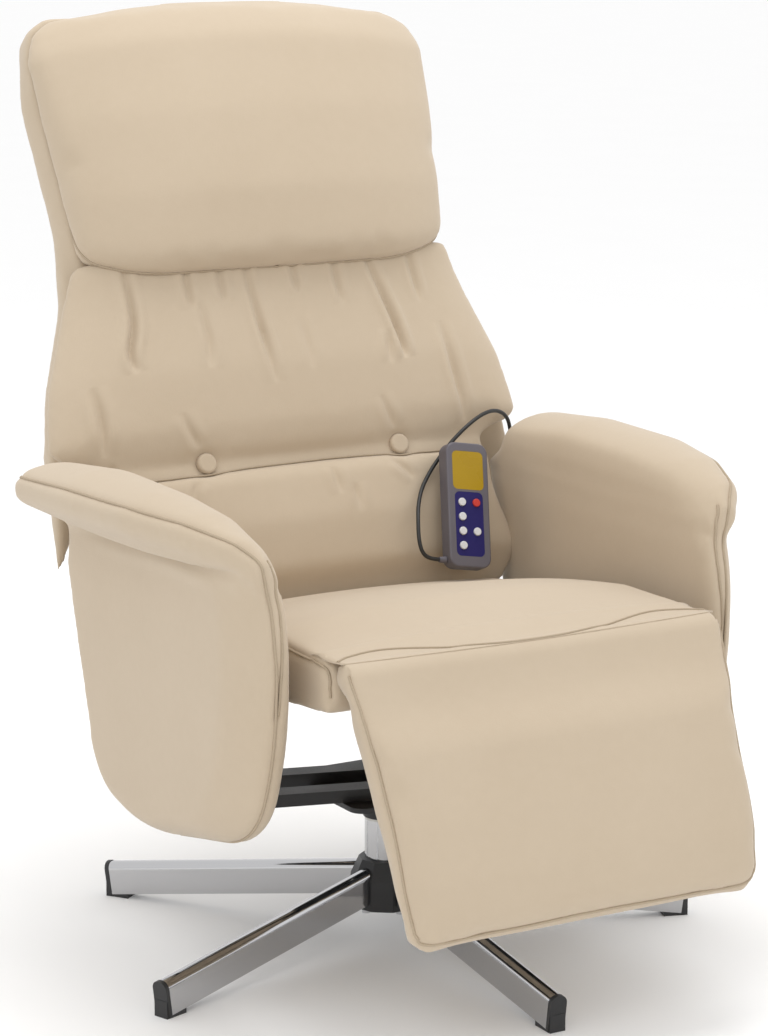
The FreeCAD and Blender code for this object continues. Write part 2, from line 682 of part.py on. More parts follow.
def lumbar_cushion():
    wide = LUMBAR_HALF_WIDTH
    low = LUMBAR_BOTTOM
    pad = tufted(cushion(BACK, [
        (low - LUMBAR_TAIL, wide - 16.0, CUSHION_BACK, 15.0, 11.0),
        (low, wide - 8.0, CUSHION_BACK, 8.0, 2.0),
        (low + 22.0, wide, CUSHION_BACK, -2.0, -20.0),
        (low * 0.5, wide - 4.0, CUSHION_BACK, -4.0, -28.0),
        (-24.0, wide - 1.0, CUSHION_BACK, -2.0, -22.0),
        (-0.5, wide - 4.0, CUSHION_BACK, 8.0, -2.0)]))
    for side in (-1, 1):
        pad = pad.cut(bracket_plate(side, BRACKET_ROOM))
    return pad


def mid_back_cushion():
    waist = WAIST_HALF_WIDTH
    pad = cushion(BACK, [
        (0.5, LUMBAR_HALF_WIDTH - 4.0, CUSHION_BACK, 9.0, -2.0),
        (14.0, LUMBAR_HALF_WIDTH + 14.0, CUSHION_BACK, 6.0, -16.0),
        (42.0, WING_HALF_WIDTH - 3.0, CUSHION_BACK, 2.0, -24.0),
        (110.0, WING_HALF_WIDTH - 18.0, CUSHION_BACK, 0.0, -28.0),
        (200.0, waist + 16.0, CUSHION_BACK, 1.0, -22.0),
        (HEAD_BOTTOM - 1.5, waist, CUSHION_BACK, 6.0, -8.0)])
    for x in (-BACK_MOTOR_X, BACK_MOTOR_X):
        pad = pad.cut(motor_pocket(BACK, x, MID_MOTOR_RISE, CUSHION_BACK, -1.0))
    return tufted(pad)


def headrest_pillow():
    wide = HEAD_HALF_WIDTH
    pad = cushion(BACK, [
        (HEAD_BOTTOM, WAIST_HALF_WIDTH - 12.0, CUSHION_BACK, 0.0, -22.0),
        (HEAD_BOTTOM + 18.0, WAIST_HALF_WIDTH - 3.0, CUSHION_BACK, -14.0, -44.0),
        (HEAD_BOTTOM + 90.0, WAIST_HALF_WIDTH + 3.0, CUSHION_BACK, -20.0, -56.0),
        (HEAD_BOTTOM + 190.0, wide - 8.0, CUSHION_BACK, -20.0, -54.0),
        (BACK_TOP - 58.0, wide - 3.0, CUSHION_BACK, -12.0, -42.0),
        (BACK_TOP - 18.0, wide - 14.0, CUSHION_BACK, 2.0, -18.0),
        (BACK_TOP, wide - 40.0, CUSHION_BACK, 12.0, 4.0)])
    for x in (-BACK_MOTOR_X, BACK_MOTOR_X):
        pad = pad.cut(motor_pocket(BACK, x, HEAD_MOTOR_RISE, CUSHION_BACK, -1.0))
    return pad


FRAME_FRONT = CUSHION_BACK + FACE_GAP
FRAME_REAR = FRAME_FRONT + FRAME_THICK
SHELL_FRONT = FRAME_REAR + FACE_GAP
SHELL_REAR = SHELL_FRONT + SHELL_DEPTH


def back_frame():
    narrow = BRACKET_INNER
    outline = [(narrow, LUMBAR_BOTTOM + 12.0), (narrow, 24.0), (WING_HALF_WIDTH - 24.0, 40.0),
               (WAIST_HALF_WIDTH - 14.0, HEAD_BOTTOM), (HEAD_HALF_WIDTH - 26.0, BACK_TOP - 60.0),
               (HEAD_HALF_WIDTH - 70.0, BACK_TOP - 18.0)]
    mirrored = [(-x, along) for x, along in reversed(outline)]
    points = [BACK.at(x, along, FRAME_FRONT) for x, along in outline + mirrored]
    return slab(points, BACK.out * FRAME_THICK)


def hinge_in_back():
    offset = FreeCAD.Vector(0, HINGE_Y, HINGE_Z) - BACK.origin
    return offset.dot(BACK.along), offset.dot(BACK.out)


def bracket_plate(side, grow):
    """The steel side arm of the back, from the recline shaft up beside the frame board."""
    along, out = hinge_in_back()
    start = BRACKET_INNER - grow if side > 0 else -BRACKET_INNER - BRACKET_THICK - grow
    width = BRACKET_THICK + 2.0 * grow
    half = 17.0 + grow
    points = [(along, out - half), (along, out + half), (-20.0 + grow, FRAME_REAR + 18.0 + grow),
              (-20.0 + grow, FRAME_FRONT - 4.0 - grow)]
    arm = slab([BACK.at(start, a, o) for a, o in points], X_AXIS * width)
    return arm.fuse(cross_bar(PIVOT_RING + grow, start, start + width, HINGE_Y, HINGE_Z))


def back_brackets():
    plates = []
    for side in (-1, 1):
        hole = cross_bar(SHAFT_RADIUS + COLUMN_CLEARANCE, -SIDE_INNER, SIDE_INNER, HINGE_Y, HINGE_Z)
        plates.append(bracket_plate(side, 0).cut(hole).removeSplitter())
    return Part.makeCompound(plates)


def back_shell():
    """The padded rear cover, with a corner on each side that hangs behind the arm."""
    waist = WAIST_HALF_WIDTH
    wide = HEAD_HALF_WIDTH
    rear = SHELL_REAR
    shell = cushion(BACK, [
        (LUMBAR_BOTTOM + 40.0, SHELL_LOW_HALF_WIDTH - 14.0, SHELL_FRONT, rear - 24.0, rear - 14.0),
        (LUMBAR_BOTTOM + 80.0, SHELL_LOW_HALF_WIDTH - 4.0, SHELL_FRONT, rear - 12.0, rear - 2.0),
        (0.0, SHELL_LOW_HALF_WIDTH + 4.0, SHELL_FRONT, rear - 10.0, rear + 3.0),
        (44.0, WING_HALF_WIDTH - 6.0, SHELL_FRONT, rear - 16.0, rear + 4.0),
        (110.0, WING_HALF_WIDTH - 20.0, SHELL_FRONT, rear - 16.0, rear + 5.0),
        (210.0, waist + 12.0, SHELL_FRONT, rear - 14.0, rear + 5.0),
        (300.0, waist + 2.0, SHELL_FRONT, rear - 14.0, rear + 6.0),
        (BACK_TOP - 110.0, wide - 5.0, SHELL_FRONT, rear - 14.0, rear + 6.0),
        (BACK_TOP - 34.0, wide - 14.0, SHELL_FRONT, rear - 20.0, rear - 10.0),
        (BACK_TOP - 8.0, wide - 42.0, SHELL_FRONT, rear - 34.0, rear - 28.0)])
    for side in (-1, 1):
        near = side * (BRACKET_INNER + BRACKET_THICK + 4.0)
        far = side * (WING_HALF_WIDTH - 4.0)
        root = [(50.0, SHELL_FRONT), (50.0, rear - 14.0), (-12.0, rear - 10.0), (-18.0, rear - 14.0), (14.0, SHELL_FRONT)]
        tip = [(50.0, SHELL_FRONT), (50.0, rear - 14.0), (-84.0, rear - 3.0), (-92.0, rear - 8.0), (0.0, SHELL_FRONT)]
        ends = [Part.makePolygon([BACK.at(x, a, o) for a, o in corner + corner[:1]])
                for x, corner in ((near, root), (far, tip))]
        shell = shell.fuse(Part.makeLoft(ends, True, True))
        shell = shell.cut(bracket_plate(side, BRACKET_ROOM))
    return shell.removeSplitter()


def back_motor(x):
    return motor_can(BACK, x, MID_MOTOR_RISE, FRAME_FRONT, -1.0)


def head_motor(x):
    return motor_can(BACK, x, HEAD_MOTOR_RISE, FRAME_FRONT, -1.0)


def crank_pin(hinge_y, hinge_z, length, degrees):
    """The pin of a crank that hangs from a hinge, turned towards the rear by an angle."""
    return (hinge_y + length * math.sin(math.radians(degrees)),
            hinge_z - length * math.cos(math.radians(degrees)))


REAR_PIN = crank_pin(HINGE_Y, HINGE_Z, BACK_CRANK, RECLINE_ANGLE / 2.0)
FRONT_PIN = crank_pin(FOOT_HINGE_Y, FOOT_HINGE_Z, FOOT_CRANK, FOOT_ANGLE / 2.0)
CRANK_NEAR = ROD_X + ROD_THICK / 2.0 + CRANK_GAP
CRANK_FAR = CRANK_NEAR + ROD_THICK
PIN_NEAR = ROD_X - ROD_THICK / 2.0 - CRANK_GAP


def bar_between(x_start, x_end, start, end, half):
    """A flat bar with round ends between two points of the side view."""
    run_y = end[0] - start[0]
    run_z = end[1] - start[1]
    length = math.hypot(run_y, run_z)
    side_y = -run_z / length * half
    side_z = run_y / length * half
    points = [(start[0] + side_y, start[1] + side_z), (end[0] + side_y, end[1] + side_z),
              (end[0] - side_y, end[1] - side_z), (start[0] - side_y, start[1] - side_z)]
    bar = slab([FreeCAD.Vector(x_start, y, z) for y, z in points], X_AXIS * (x_end - x_start))
    for y, z in (start, end):
        bar = bar.fuse(cross_bar(half, x_start, x_end, y, z))
    return bar.removeSplitter()


def recline_shaft():
    inner = SIDE_INNER - FACE_GAP
    shaft = cross_bar(SHAFT_RADIUS, -inner, inner, HINGE_Y, HINGE_Z)
    end = SIDE_OUTER + JOURNAL_END
    shaft = shaft.fuse(cross_bar(JOURNAL_RADIUS, -end, end, HINGE_Y, HINGE_Z))
    crank = bar_between(CRANK_NEAR, CRANK_FAR, (HINGE_Y, HINGE_Z), REAR_PIN, ROD_EYE)
    boss = cross_bar(SHAFT_RADIUS + 6.0, CRANK_NEAR, CRANK_FAR, HINGE_Y, HINGE_Z)
    pin = cross_bar(ROD_PIN_RADIUS, PIN_NEAR, CRANK_NEAR, *REAR_PIN)
    return shaft.fuse(crank).fuse(boss).fuse(pin).removeSplitter()


# Footrest

FOOT_BOARD_FRONT = -NOSE_RADIUS + FOOT_BOARD_THICK
FOOT_BOARD_TOP = NOSE_RADIUS + 8.0
PAD_BACK = FOOT_BOARD_FRONT + FACE_GAP


def foot_half_width(along):
    return FOOT_TOP_HALF_WIDTH + (FOOT_END_HALF_WIDTH - FOOT_TOP_HALF_WIDTH) * along / FOOT_LENGTH


def clevis_half():
    return HINGE_ARM_THICK / 2.0 + CLEVIS_GAP + CLEVIS_EAR


def footrest_pad():
    face = NOSE_RADIUS - 3.0
    full = face + FOOT_EDGE_RISE
    stations = []
    for along, inset, edge, crown in (
            (0.0, 0.0, face, NOSE_RADIUS - 1.0), (24.0, 0.0, full - 2.0, NOSE_RADIUS + FOOT_CROWN * 0.4),
            (60.0, 0.0, full, NOSE_RADIUS + FOOT_CROWN * 0.8),
            (FOOT_LENGTH * 0.55, 2.0, full - 1.0, NOSE_RADIUS + FOOT_CROWN),
            (FOOT_LENGTH - 70.0, 1.0, face, NOSE_RADIUS + FOOT_CROWN * 0.6),
            (FOOT_LENGTH - 25.0, 3.0, face - 8.0, NOSE_RADIUS - 3.0),
            (FOOT_LENGTH - 8.0, 10.0, face - 14.0, face - 8.0), (FOOT_LENGTH, 22.0, face - 19.0, face - 15.0)):
        stations.append((along, foot_half_width(along) - inset, PAD_BACK, edge, crown))
    pad = cushion(FOOT, stations)
    nose = cross_bar(NOSE_RADIUS, -FOOT_TOP_HALF_WIDTH, FOOT_TOP_HALF_WIDTH, FOOT_HINGE_Y, FOOT_HINGE_Z)
    ends = [edge for edge in nose.Edges if edge.Closed]
    pad = pad.fuse(nose.makeFillet(6.0, ends)).removeSplitter()
    room = clevis_half() + 1.5
    for x in (-CLEVIS_X, CLEVIS_X):
        pad = pad.cut(frame_box(FOOT, (x - room, x + room), (-15.0, FOOT_BOARD_TOP + 6.0), (-40.0, 13.0)))
    return pad


def footrest_board():
    outline = [(foot_half_width(FOOT_BOARD_TOP) - 10.0, FOOT_BOARD_TOP),
               (foot_half_width(FOOT_LENGTH) - 10.0, FOOT_LENGTH - 14.0)]
    mirrored = [(-x, along) for x, along in reversed(outline)]
    points = [FOOT.at(x, along, -NOSE_RADIUS) for x, along in outline + mirrored]
    return slab(points, FOOT.out * FOOT_BOARD_THICK)


def footrest_clevises():
    """The hinge ears on the footrest board, and the lug that the push rod drives."""
    pieces = []
    inside = HINGE_ARM_THICK / 2.0 + CLEVIS_GAP
    behind = -NOSE_RADIUS
    for x in (-CLEVIS_X, CLEVIS_X):
        base = frame_box(FOOT, (x - clevis_half(), x + clevis_half()), (FOOT_BOARD_TOP + 10.0, CLEVIS_PLATE_END),
                         (behind - CLEVIS_PLATE, behind))
        for start in (x - clevis_half(), x + inside):
            ear = cross_bar(CLEVIS_RADIUS, start, start + CLEVIS_EAR, FOOT_HINGE_Y, FOOT_HINGE_Z)
            leg = slab([FOOT.at(start, a, o) for a, o in
                        ((0, CLEVIS_RADIUS * 0.9), (FOOT_BOARD_TOP - FACE_GAP, 4.0), (FOOT_BOARD_TOP - FACE_GAP, behind),
                         (CLEVIS_LEG_END, behind), (CLEVIS_LEG_END, behind - CLEVIS_PLATE),
                         (CLEVIS_HEEL, behind - CLEVIS_PLATE), (-CLEVIS_PLATE, -CLEVIS_RADIUS * 0.9))],
                       X_AXIS * CLEVIS_EAR)
            base = base.fuse(ear.fuse(leg))
        hole = cross_bar(FOOT_PIN_RADIUS + RUNNING_FIT, x - 2.0 * clevis_half(), x + 2.0 * clevis_half(), FOOT_HINGE_Y, FOOT_HINGE_Z)
        pieces.append(base.cut(hole).removeSplitter())
    pieces.append(footrest_lug(behind))
    return Part.makeCompound(pieces)


def footrest_lug(behind):
    offset = FreeCAD.Vector(0, FRONT_PIN[0], FRONT_PIN[1]) - FOOT.origin
    along = offset.dot(FOOT.along)
    out = offset.dot(FOOT.out)
    half = ROD_EYE - 1.0
    foot = frame_box(FOOT, (CRANK_NEAR, CRANK_FAR + LUG_FOOT_WIDTH), (LUG_START, LUG_END), (behind - CLEVIS_PLATE, behind))
    fin = slab([FOOT.at(CRANK_NEAR, a, o) for a, o in
                ((LUG_START + 2.0, behind), (LUG_END - 6.0, behind), (along + half, out), (along - half, out))],
               X_AXIS * ROD_THICK)
    ring = cross_bar(half, CRANK_NEAR, CRANK_FAR, *FRONT_PIN)
    pin = cross_bar(ROD_PIN_RADIUS, PIN_NEAR, CRANK_NEAR, *FRONT_PIN)
    return foot.fuse(fin).fuse(ring).fuse(pin).removeSplitter()


def hinge_arms():
    """Two steel arms under the seat board that carry the footrest pins."""
    arms = []
    half = HINGE_ARM_THICK / 2.0
    front = seat_under(BOARD_INSET - 4.0)
    rear = seat_under(HINGE_ARM_LENGTH)
    for x in (-CLEVIS_X, CLEVIS_X):
        points = [(rear.y, rear.z), (front.y, front.z), (FOOT_HINGE_Y + HINGE_ARM_TIP, FOOT_HINGE_Z + HINGE_ARM_TIP / 2.0),
                  (FOOT_HINGE_Y - HINGE_ARM_TIP, FOOT_HINGE_Z - HINGE_ARM_TIP / 2.0),
                  (front.y + 2.0, front.z - HINGE_ARM_DEPTH), (rear.y, rear.z - HINGE_ARM_DEPTH + 2.0)]
        web = slab([FreeCAD.Vector(x - half, y, z) for y, z in points], X_AXIS * HINGE_ARM_THICK)
        ring = cross_bar(CLEVIS_RADIUS - 1.0, x - half, x + half, FOOT_HINGE_Y, FOOT_HINGE_Z)
        hole = cross_bar(FOOT_PIN_RADIUS + COLUMN_CLEARANCE, x - 2.0 * clevis_half(), x + 2.0 * clevis_half(), FOOT_HINGE_Y, FOOT_HINGE_Z)
        arms.append(web.fuse(ring).cut(hole).removeSplitter())
    return Part.makeCompound(arms)


def footrest_pins():
    reach = clevis_half() + 1.0
    return Part.makeCompound([
        cross_bar(FOOT_PIN_RADIUS, x - reach, x + reach, FOOT_HINGE_Y, FOOT_HINGE_Z) for x in (-CLEVIS_X, CLEVIS_X)])


def slot_cut(pin, drop):
    """A slot that lets a crank pin sink below the straight line of the rod."""
    start = ROD_X - ROD_THICK
    end = ROD_X + ROD_THICK
    radius = ROD_PIN_RADIUS + ROD_SIDE_PLAY
    return bar_between(start, end, pin, (pin[0], pin[1] - drop), radius)


def push_rod():
    start = ROD_X - ROD_THICK / 2.0
    end = ROD_X + ROD_THICK / 2.0
    rear_drop = BACK_CRANK * (1.0 - math.cos(math.radians(RECLINE_ANGLE / 2.0)))
    front_drop = FOOT_CRANK * (1.0 - math.cos(math.radians(FOOT_ANGLE / 2.0)))
    rod = bar_between(start, end, REAR_PIN, FRONT_PIN, ROD_HEIGHT / 2.0)
    for pin, drop in ((REAR_PIN, rear_drop), (FRONT_PIN, front_drop)):
        rod = rod.fuse(bar_between(start, end, pin, (pin[0], pin[1] - drop), ROD_EYE))
    for pin, drop in ((REAR_PIN, rear_drop), (FRONT_PIN, front_drop)):
        rod = rod.cut(slot_cut(pin, drop))
    return rod.removeSplitter()


# Handset, made upright with its face towards -Y and set down at its place

def hand_place(shape):
    placed = shape.copy()
    placed.rotate(FreeCAD.Vector(0, 0, 0), FreeCAD.Vector(0, 1, 0), -HAND_ROLL)
    placed.rotate(FreeCAD.Vector(0, 0, 0), X_AXIS, -HAND_LEAN)
    placed.translate(FreeCAD.Vector(*HAND_BOTTOM))
    return placed


def hand_block(width, depth_low, depth_high, low, high, radius):
    block = Part.makeBox(width, depth_high - depth_low, high - low, FreeCAD.Vector(-width / 2.0, depth_low, low))
    edges = [edge for edge in block.Edges if abs(edge.tangentAt(edge.FirstParameter).y) > 0.9]
    return block.makeFillet(radius, edges)


HAND_FACE = -HAND_DEPTH / 2.0
KEY_PLACES = ((-1, 1.5), (1, 1.5), (-1, 0.5), (-1, -0.5), (1, -0.5), (-1, -1.5))


def key_place(column, row):
    return column * KEY_COLUMN, KEYPAD_RISE + row * KEY_ROW


def key_hole(column, row, clearance, front, rear):
    x, z = key_place(column, row)
    return cylinder(KEY_RADIUS + clearance, FreeCAD.Vector(x, front, z), FreeCAD.Vector(x, rear, z))


def handset_back():
    shell = hand_block(HAND_WIDTH, 0, HAND_DEPTH / 2.0, 0, HAND_LENGTH, HAND_ROUND)
    hollow = hand_block(HAND_WIDTH - 2 * HAND_WALL, -1.0, HAND_DEPTH / 2.0 - HAND_WALL, HAND_WALL,
                        HAND_LENGTH - HAND_WALL, HAND_ROUND - HAND_WALL)
    rear = [edge for edge in shell.Edges if edge.BoundBox.YMin > HAND_DEPTH / 2.0 - 0.01]
    return hand_place(shell.makeFillet(HAND_ROUND * 0.6, rear).cut(hollow))


def handset_front():
    shell = hand_block(HAND_WIDTH, HAND_FACE, 0, 0, HAND_LENGTH, HAND_ROUND)
    front = [edge for edge in shell.Edges if edge.BoundBox.YMax < HAND_FACE + 0.01]
    shell = shell.makeFillet(HAND_WALL, front)
    hollow = hand_block(HAND_WIDTH - 2 * HAND_WALL, HAND_FACE + INLAY_DEPTH + HAND_WALL, 1.0, HAND_WALL,
                        HAND_LENGTH - HAND_WALL, HAND_ROUND - HAND_WALL)
    shell = shell.cut(hollow)
    for width, height, rise in ((SCREEN_WIDTH, SCREEN_HEIGHT, SCREEN_RISE), (KEYPAD_WIDTH, KEYPAD_HEIGHT, KEYPAD_RISE)):
        shell = shell.cut(inlay_block(width, height, rise, INLAY_CLEARANCE, HAND_FACE - 1.0))
    for place in KEY_PLACES:
        shell = shell.cut(key_hole(*place, KEY_CLEARANCE, HAND_FACE - 1.0, 0))
    return hand_place(shell)


def inlay_block(width, height, rise, grow, face):
    return hand_block(width + 2 * grow, face, HAND_FACE + INLAY_DEPTH, rise - height / 2.0 - grow,
                      rise + height / 2.0 + grow, HAND_ROUND / 2.0)


def handset_screen():
    return hand_place(inlay_block(SCREEN_WIDTH, SCREEN_HEIGHT, SCREEN_RISE, 0, HAND_FACE))


def handset_keypad():
    panel = inlay_block(KEYPAD_WIDTH, KEYPAD_HEIGHT, KEYPAD_RISE, 0, HAND_FACE)
    for place in KEY_PLACES:
        panel = panel.cut(key_hole(*place, KEY_CLEARANCE, HAND_FACE - 1.0, 0))
    return hand_place(panel)


def handset_key(column, row):
    key = key_hole(column, row, 0, HAND_FACE - KEY_PROUD, HAND_FACE - KEY_PROUD + KEY_LENGTH)
    cap = [edge for edge in key.Edges if edge.Closed and edge.BoundBox.YMax < HAND_FACE - KEY_PROUD + 0.01]
    return hand_place(key.makeFillet(1.0, cap))


def hand_point(x, y, z):
    return hand_place(Part.Vertex(FreeCAD.Vector(x, y, z))).Point


RELIEF_RISE = 10.0
RELIEF_ROOT = hand_point(-HAND_WIDTH / 2.0, 0, RELIEF_RISE)
RELIEF_TIP = hand_point(-HAND_WIDTH / 2.0 - RELIEF_LENGTH, 0, RELIEF_RISE)


def cord_relief():
    """The tapered sleeve where the cord leaves the handset's lower side."""
    axis = RELIEF_TIP - RELIEF_ROOT
    return Part.makeCone(RELIEF_RADIUS, CORD_RADIUS + 0.8, RELIEF_LENGTH, RELIEF_ROOT, axis)


GROMMET_ROOT = FreeCAD.Vector(0.5 * (ARM_BOARD_IN + ARM_BOARD_OUT), HINGE_Y - GROMMET_AHEAD, GROMMET_Z)
GROMMET_AXIS = FreeCAD.Vector(0, 0.8, 0.6)
GROMMET_TIP = GROMMET_ROOT + GROMMET_AXIS * GROMMET_LENGTH


def grommet_bar(radius, past):
    """A round bar on the grommet's line, from inside the arm board to past the grommet's tip."""
    return cylinder(radius, GROMMET_ROOT - GROMMET_AXIS * GROMMET_LENGTH, GROMMET_TIP + GROMMET_AXIS * past)


def cord_grommet():
    """The sleeve in the rear edge of the left arm board that the cord goes into."""
    sleeve = grommet_bar(GROMMET_RADIUS, 0.0)
    return max(sleeve.cut(arm_board(1)).Solids, key=lambda solid: solid.CenterOfMass.y)


# The cord's route: a loop beside the handset, up over the rear of the left arm and down to its grommet
CORD_START_RUN = 13.0
RELIEF_AXIS = (RELIEF_TIP - RELIEF_ROOT).normalize()
# Each turn of the cord: across, behind the hinge, and above the floor.
CORD_TURNS = (
    (112.5, -60.0, 434.0), (110.0, -56.0, 450.0), (115.0, -46.0, 468.0), (125.0, -29.0, 485.0),
    (139.0, -13.0, 502.0), (157.0, -2.0, 519.0), (176.0, 4.5, 536.0), (197.0, 9.0, 554.0),
    (222.0, 13.0, 571.0), (249.0, 20.5, 582.0), (275.0, 31.0, 583.0), (298.0, 41.0, 571.0),
    (307.0, 47.0, 547.0), (307.0, 45.0, 522.0), (303.0, 37.0, 500.0))
CORD_ROUTE = ([RELIEF_TIP, RELIEF_TIP + RELIEF_AXIS * CORD_START_RUN]
              + [FreeCAD.Vector(x, HINGE_Y + behind, z) for x, behind, z in CORD_TURNS]
              + [GROMMET_TIP + GROMMET_AXIS * CORD_START_RUN, GROMMET_TIP])


def handset_cord():
    """A tube of straight runs joined by tangent arcs, each as large as its runs allow."""
    edges = []
    radii = []
    start = CORD_ROUTE[0]
    for before, corner, after in zip(CORD_ROUTE, CORD_ROUTE[1:], CORD_ROUTE[2:]):
        back = (before - corner).normalize()
        ahead = (after - corner).normalize()
        half_turn = 0.5 * (math.pi - back.getAngle(ahead))
        trim = 0.45 * min((before - corner).Length, (after - corner).Length)
        radius = trim / math.tan(half_turn)
        radii.append(round(radius, 1))
        arc_start = corner + back * trim
        arc_end = corner + ahead * trim
        inward = (back + ahead).normalize()
        middle = corner + inward * (radius / math.cos(half_turn) - radius)
        edges.append(line(start, arc_start))
        edges.append(arc(arc_start, middle, arc_end))
        start = arc_end
    edges.append(line(start, CORD_ROUTE[-1]))
    path = Part.Wire(edges)
    heading = CORD_ROUTE[1] - CORD_ROUTE[0]
    ring = Part.Wire([Part.makeCircle(CORD_RADIUS, CORD_ROUTE[0], heading)])
    tube = path.makePipeShell([ring], True, False)
    print("cord radii", radii, "length", round(path.Length, 1))
    print("cord volume", round(tube.Volume), "section by length", round(math.pi * CORD_RADIUS ** 2 * path.Length))
    return tube


# Control box under the seat board

BOX_TOP = -SEAT_THICK - FACE_GAP - BOARD_THICK


def control_box():
    box = frame_box(SEAT, (BOX_X - BOX_WIDTH / 2.0, BOX_X - BOX_WIDTH / 2.0 + BOX_WIDTH),
                    (BOX_ALONG, BOX_ALONG + BOX_LENGTH), (BOX_TOP - BOX_HEIGHT, BOX_TOP))
    hollow = frame_box(SEAT, (BOX_X - BOX_WIDTH / 2.0 + HAND_WALL, BOX_X + BOX_WIDTH / 2.0 - HAND_WALL),
                       (BOX_ALONG + HAND_WALL, BOX_ALONG + BOX_LENGTH - HAND_WALL),
                       (BOX_TOP - BOX_HEIGHT + HAND_WALL, BOX_TOP - HAND_WALL))
    return box.cut(hollow).cut(inlet_bar(INLET_RADIUS + PLUG_CLEARANCE, -2.0))


def inlet_bar(radius, past):
    middle = BOX_TOP - BOX_HEIGHT / 2.0
    end = BOX_ALONG + BOX_LENGTH
    return cylinder(radius, SEAT.at(BOX_X, end - INLET_DEPTH, middle), SEAT.at(BOX_X, end - past, middle))


def power_inlet():
    middle = BOX_TOP - BOX_HEIGHT / 2.0
    end = BOX_ALONG + BOX_LENGTH
    body = inlet_bar(INLET_RADIUS, 0)
    flange = cylinder(INLET_RADIUS + 2.0, SEAT.at(BOX_X, end, middle), SEAT.at(BOX_X, end + 2.0, middle))
    bore = cylinder(INLET_BORE, SEAT.at(BOX_X, end - INLET_DEPTH + 2.0, middle), SEAT.at(BOX_X, end + 3.0, middle))
    return body.fuse(flange).cut(bore).removeSplitter()


def main():
    os.makedirs("parts", exist_ok=True)
    export("base_hub", base_hub())
    leg = base_leg()
    cap = leg_cap()
    bolt = leg_bolt()
    for index in range(LEG_COUNT):
        export("base_leg_%d" % (index + 1), common_turn(leg, leg_heading(index)))
    headings = [leg_heading(index) for index in range(LEG_COUNT)]
    export("leg_caps", Part.makeCompound([common_turn(cap, heading) for heading in headings]))
    export("leg_bolts", Part.makeCompound([common_turn(bolt, heading) for heading in headings]))
    export("base_column", base_column())
    export("swivel_bushes", swivel_bushes())
    export("swivel_spindle", swivel_spindle())
    export("swivel_plate", swivel_plate())
    export("cross_arm_front", cross_arm(CROSS_FRONT_Y))
    export("cross_arm_rear", cross_arm(CROSS_REAR_Y))
    export("seat_board", seat_board())
    export("seat_cushion", seat_cushion())
    export("seat_motors", Part.makeCompound(both_sides(seat_motor, SEAT_MOTOR_X)))
    for name, side in (("right", -1), ("left", 1)):
        export("side_plate_" + name, side_plate(side))
        export("arm_board_" + name, arm_board(side))
        export("arm_inner_pad_" + name, arm_inner_pad(side))
        export("arm_outer_pad_" + name, arm_outer_pad(side))
        export("arm_rest_" + name, arm_rest(side))
    export("arm_studs", arm_studs())
    export("lumbar_cushion", lumbar_cushion())
    export("mid_back_cushion", mid_back_cushion())
    export("headrest_pillow", headrest_pillow())
    export("tuft_buttons", Part.makeCompound(both_sides(tuft_button, BUTTON_X)))
    export("back_frame", back_frame())
    export("back_shell", back_shell())
    export("back_brackets", back_brackets())
    export("recline_shaft", recline_shaft())
    export("back_motors", Part.makeCompound(both_sides(back_motor, BACK_MOTOR_X)))
    export("head_motors", Part.makeCompound(both_sides(head_motor, BACK_MOTOR_X)))
    export("footrest_board", footrest_board())
    export("footrest_pad", footrest_pad())
    export("footrest_clevises", footrest_clevises())
    export("footrest_hinge_arms", hinge_arms())
    export("footrest_pins", footrest_pins())
    export("push_rod", push_rod())
    export("handset_back", handset_back())
    export("handset_front", handset_front())
    export("handset_screen", handset_screen())
    export("handset_keypad", handset_keypad())
    for index, place in enumerate(KEY_PLACES):
        export("handset_key_%d" % (index + 1), handset_key(*place))
    export("cord_relief", cord_relief())
    export("cord_grommet", cord_grommet())
    export("handset_cord", handset_cord())
    export("control_box", control_box())
    export("power_inlet", power_inlet())


main()
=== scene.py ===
# %% [markdown]
# # A cream massage recliner
# This lesson dresses a recliner that already exists as a set of rigid pieces. The frame holds every piece at
# its real size in metres: the chair faces -Y and stands on the floor at zero. We only add what the eye sees:
# cloth over foam, piped seams, chrome, moulded plastic, a cord, a floor and a light.

# %% Load the frame
import bmesh
import bpy
import json
import math
from mathutils import Matrix, Vector
from mathutils.bvhtree import BVHTree
from mathutils.kdtree import KDTree


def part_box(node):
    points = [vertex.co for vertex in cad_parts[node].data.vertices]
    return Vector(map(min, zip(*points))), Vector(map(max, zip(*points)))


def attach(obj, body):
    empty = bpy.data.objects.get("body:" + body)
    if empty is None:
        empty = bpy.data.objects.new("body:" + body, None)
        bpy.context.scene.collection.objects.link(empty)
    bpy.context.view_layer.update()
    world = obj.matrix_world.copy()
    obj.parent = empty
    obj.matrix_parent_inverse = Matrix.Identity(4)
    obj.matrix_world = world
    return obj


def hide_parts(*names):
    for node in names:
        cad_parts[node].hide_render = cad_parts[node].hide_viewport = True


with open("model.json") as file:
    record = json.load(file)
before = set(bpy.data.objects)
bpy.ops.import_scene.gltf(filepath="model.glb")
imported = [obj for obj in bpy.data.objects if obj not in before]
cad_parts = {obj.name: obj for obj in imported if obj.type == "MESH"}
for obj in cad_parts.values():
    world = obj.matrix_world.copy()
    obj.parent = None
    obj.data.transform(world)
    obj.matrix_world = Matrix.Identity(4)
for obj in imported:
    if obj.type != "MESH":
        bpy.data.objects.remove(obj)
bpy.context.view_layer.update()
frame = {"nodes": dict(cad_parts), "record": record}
MM = 0.001

# %% [markdown]
# ## Camera
# The picture was taken from the chair's right, a little above the arms, with a long lens. A long lens keeps
# the legs and the arms nearly parallel, so we stand far away instead of widening the view. The place could be
# found by turning the view by hand; here it was worked out from the five leg ends, which lie on one circle.

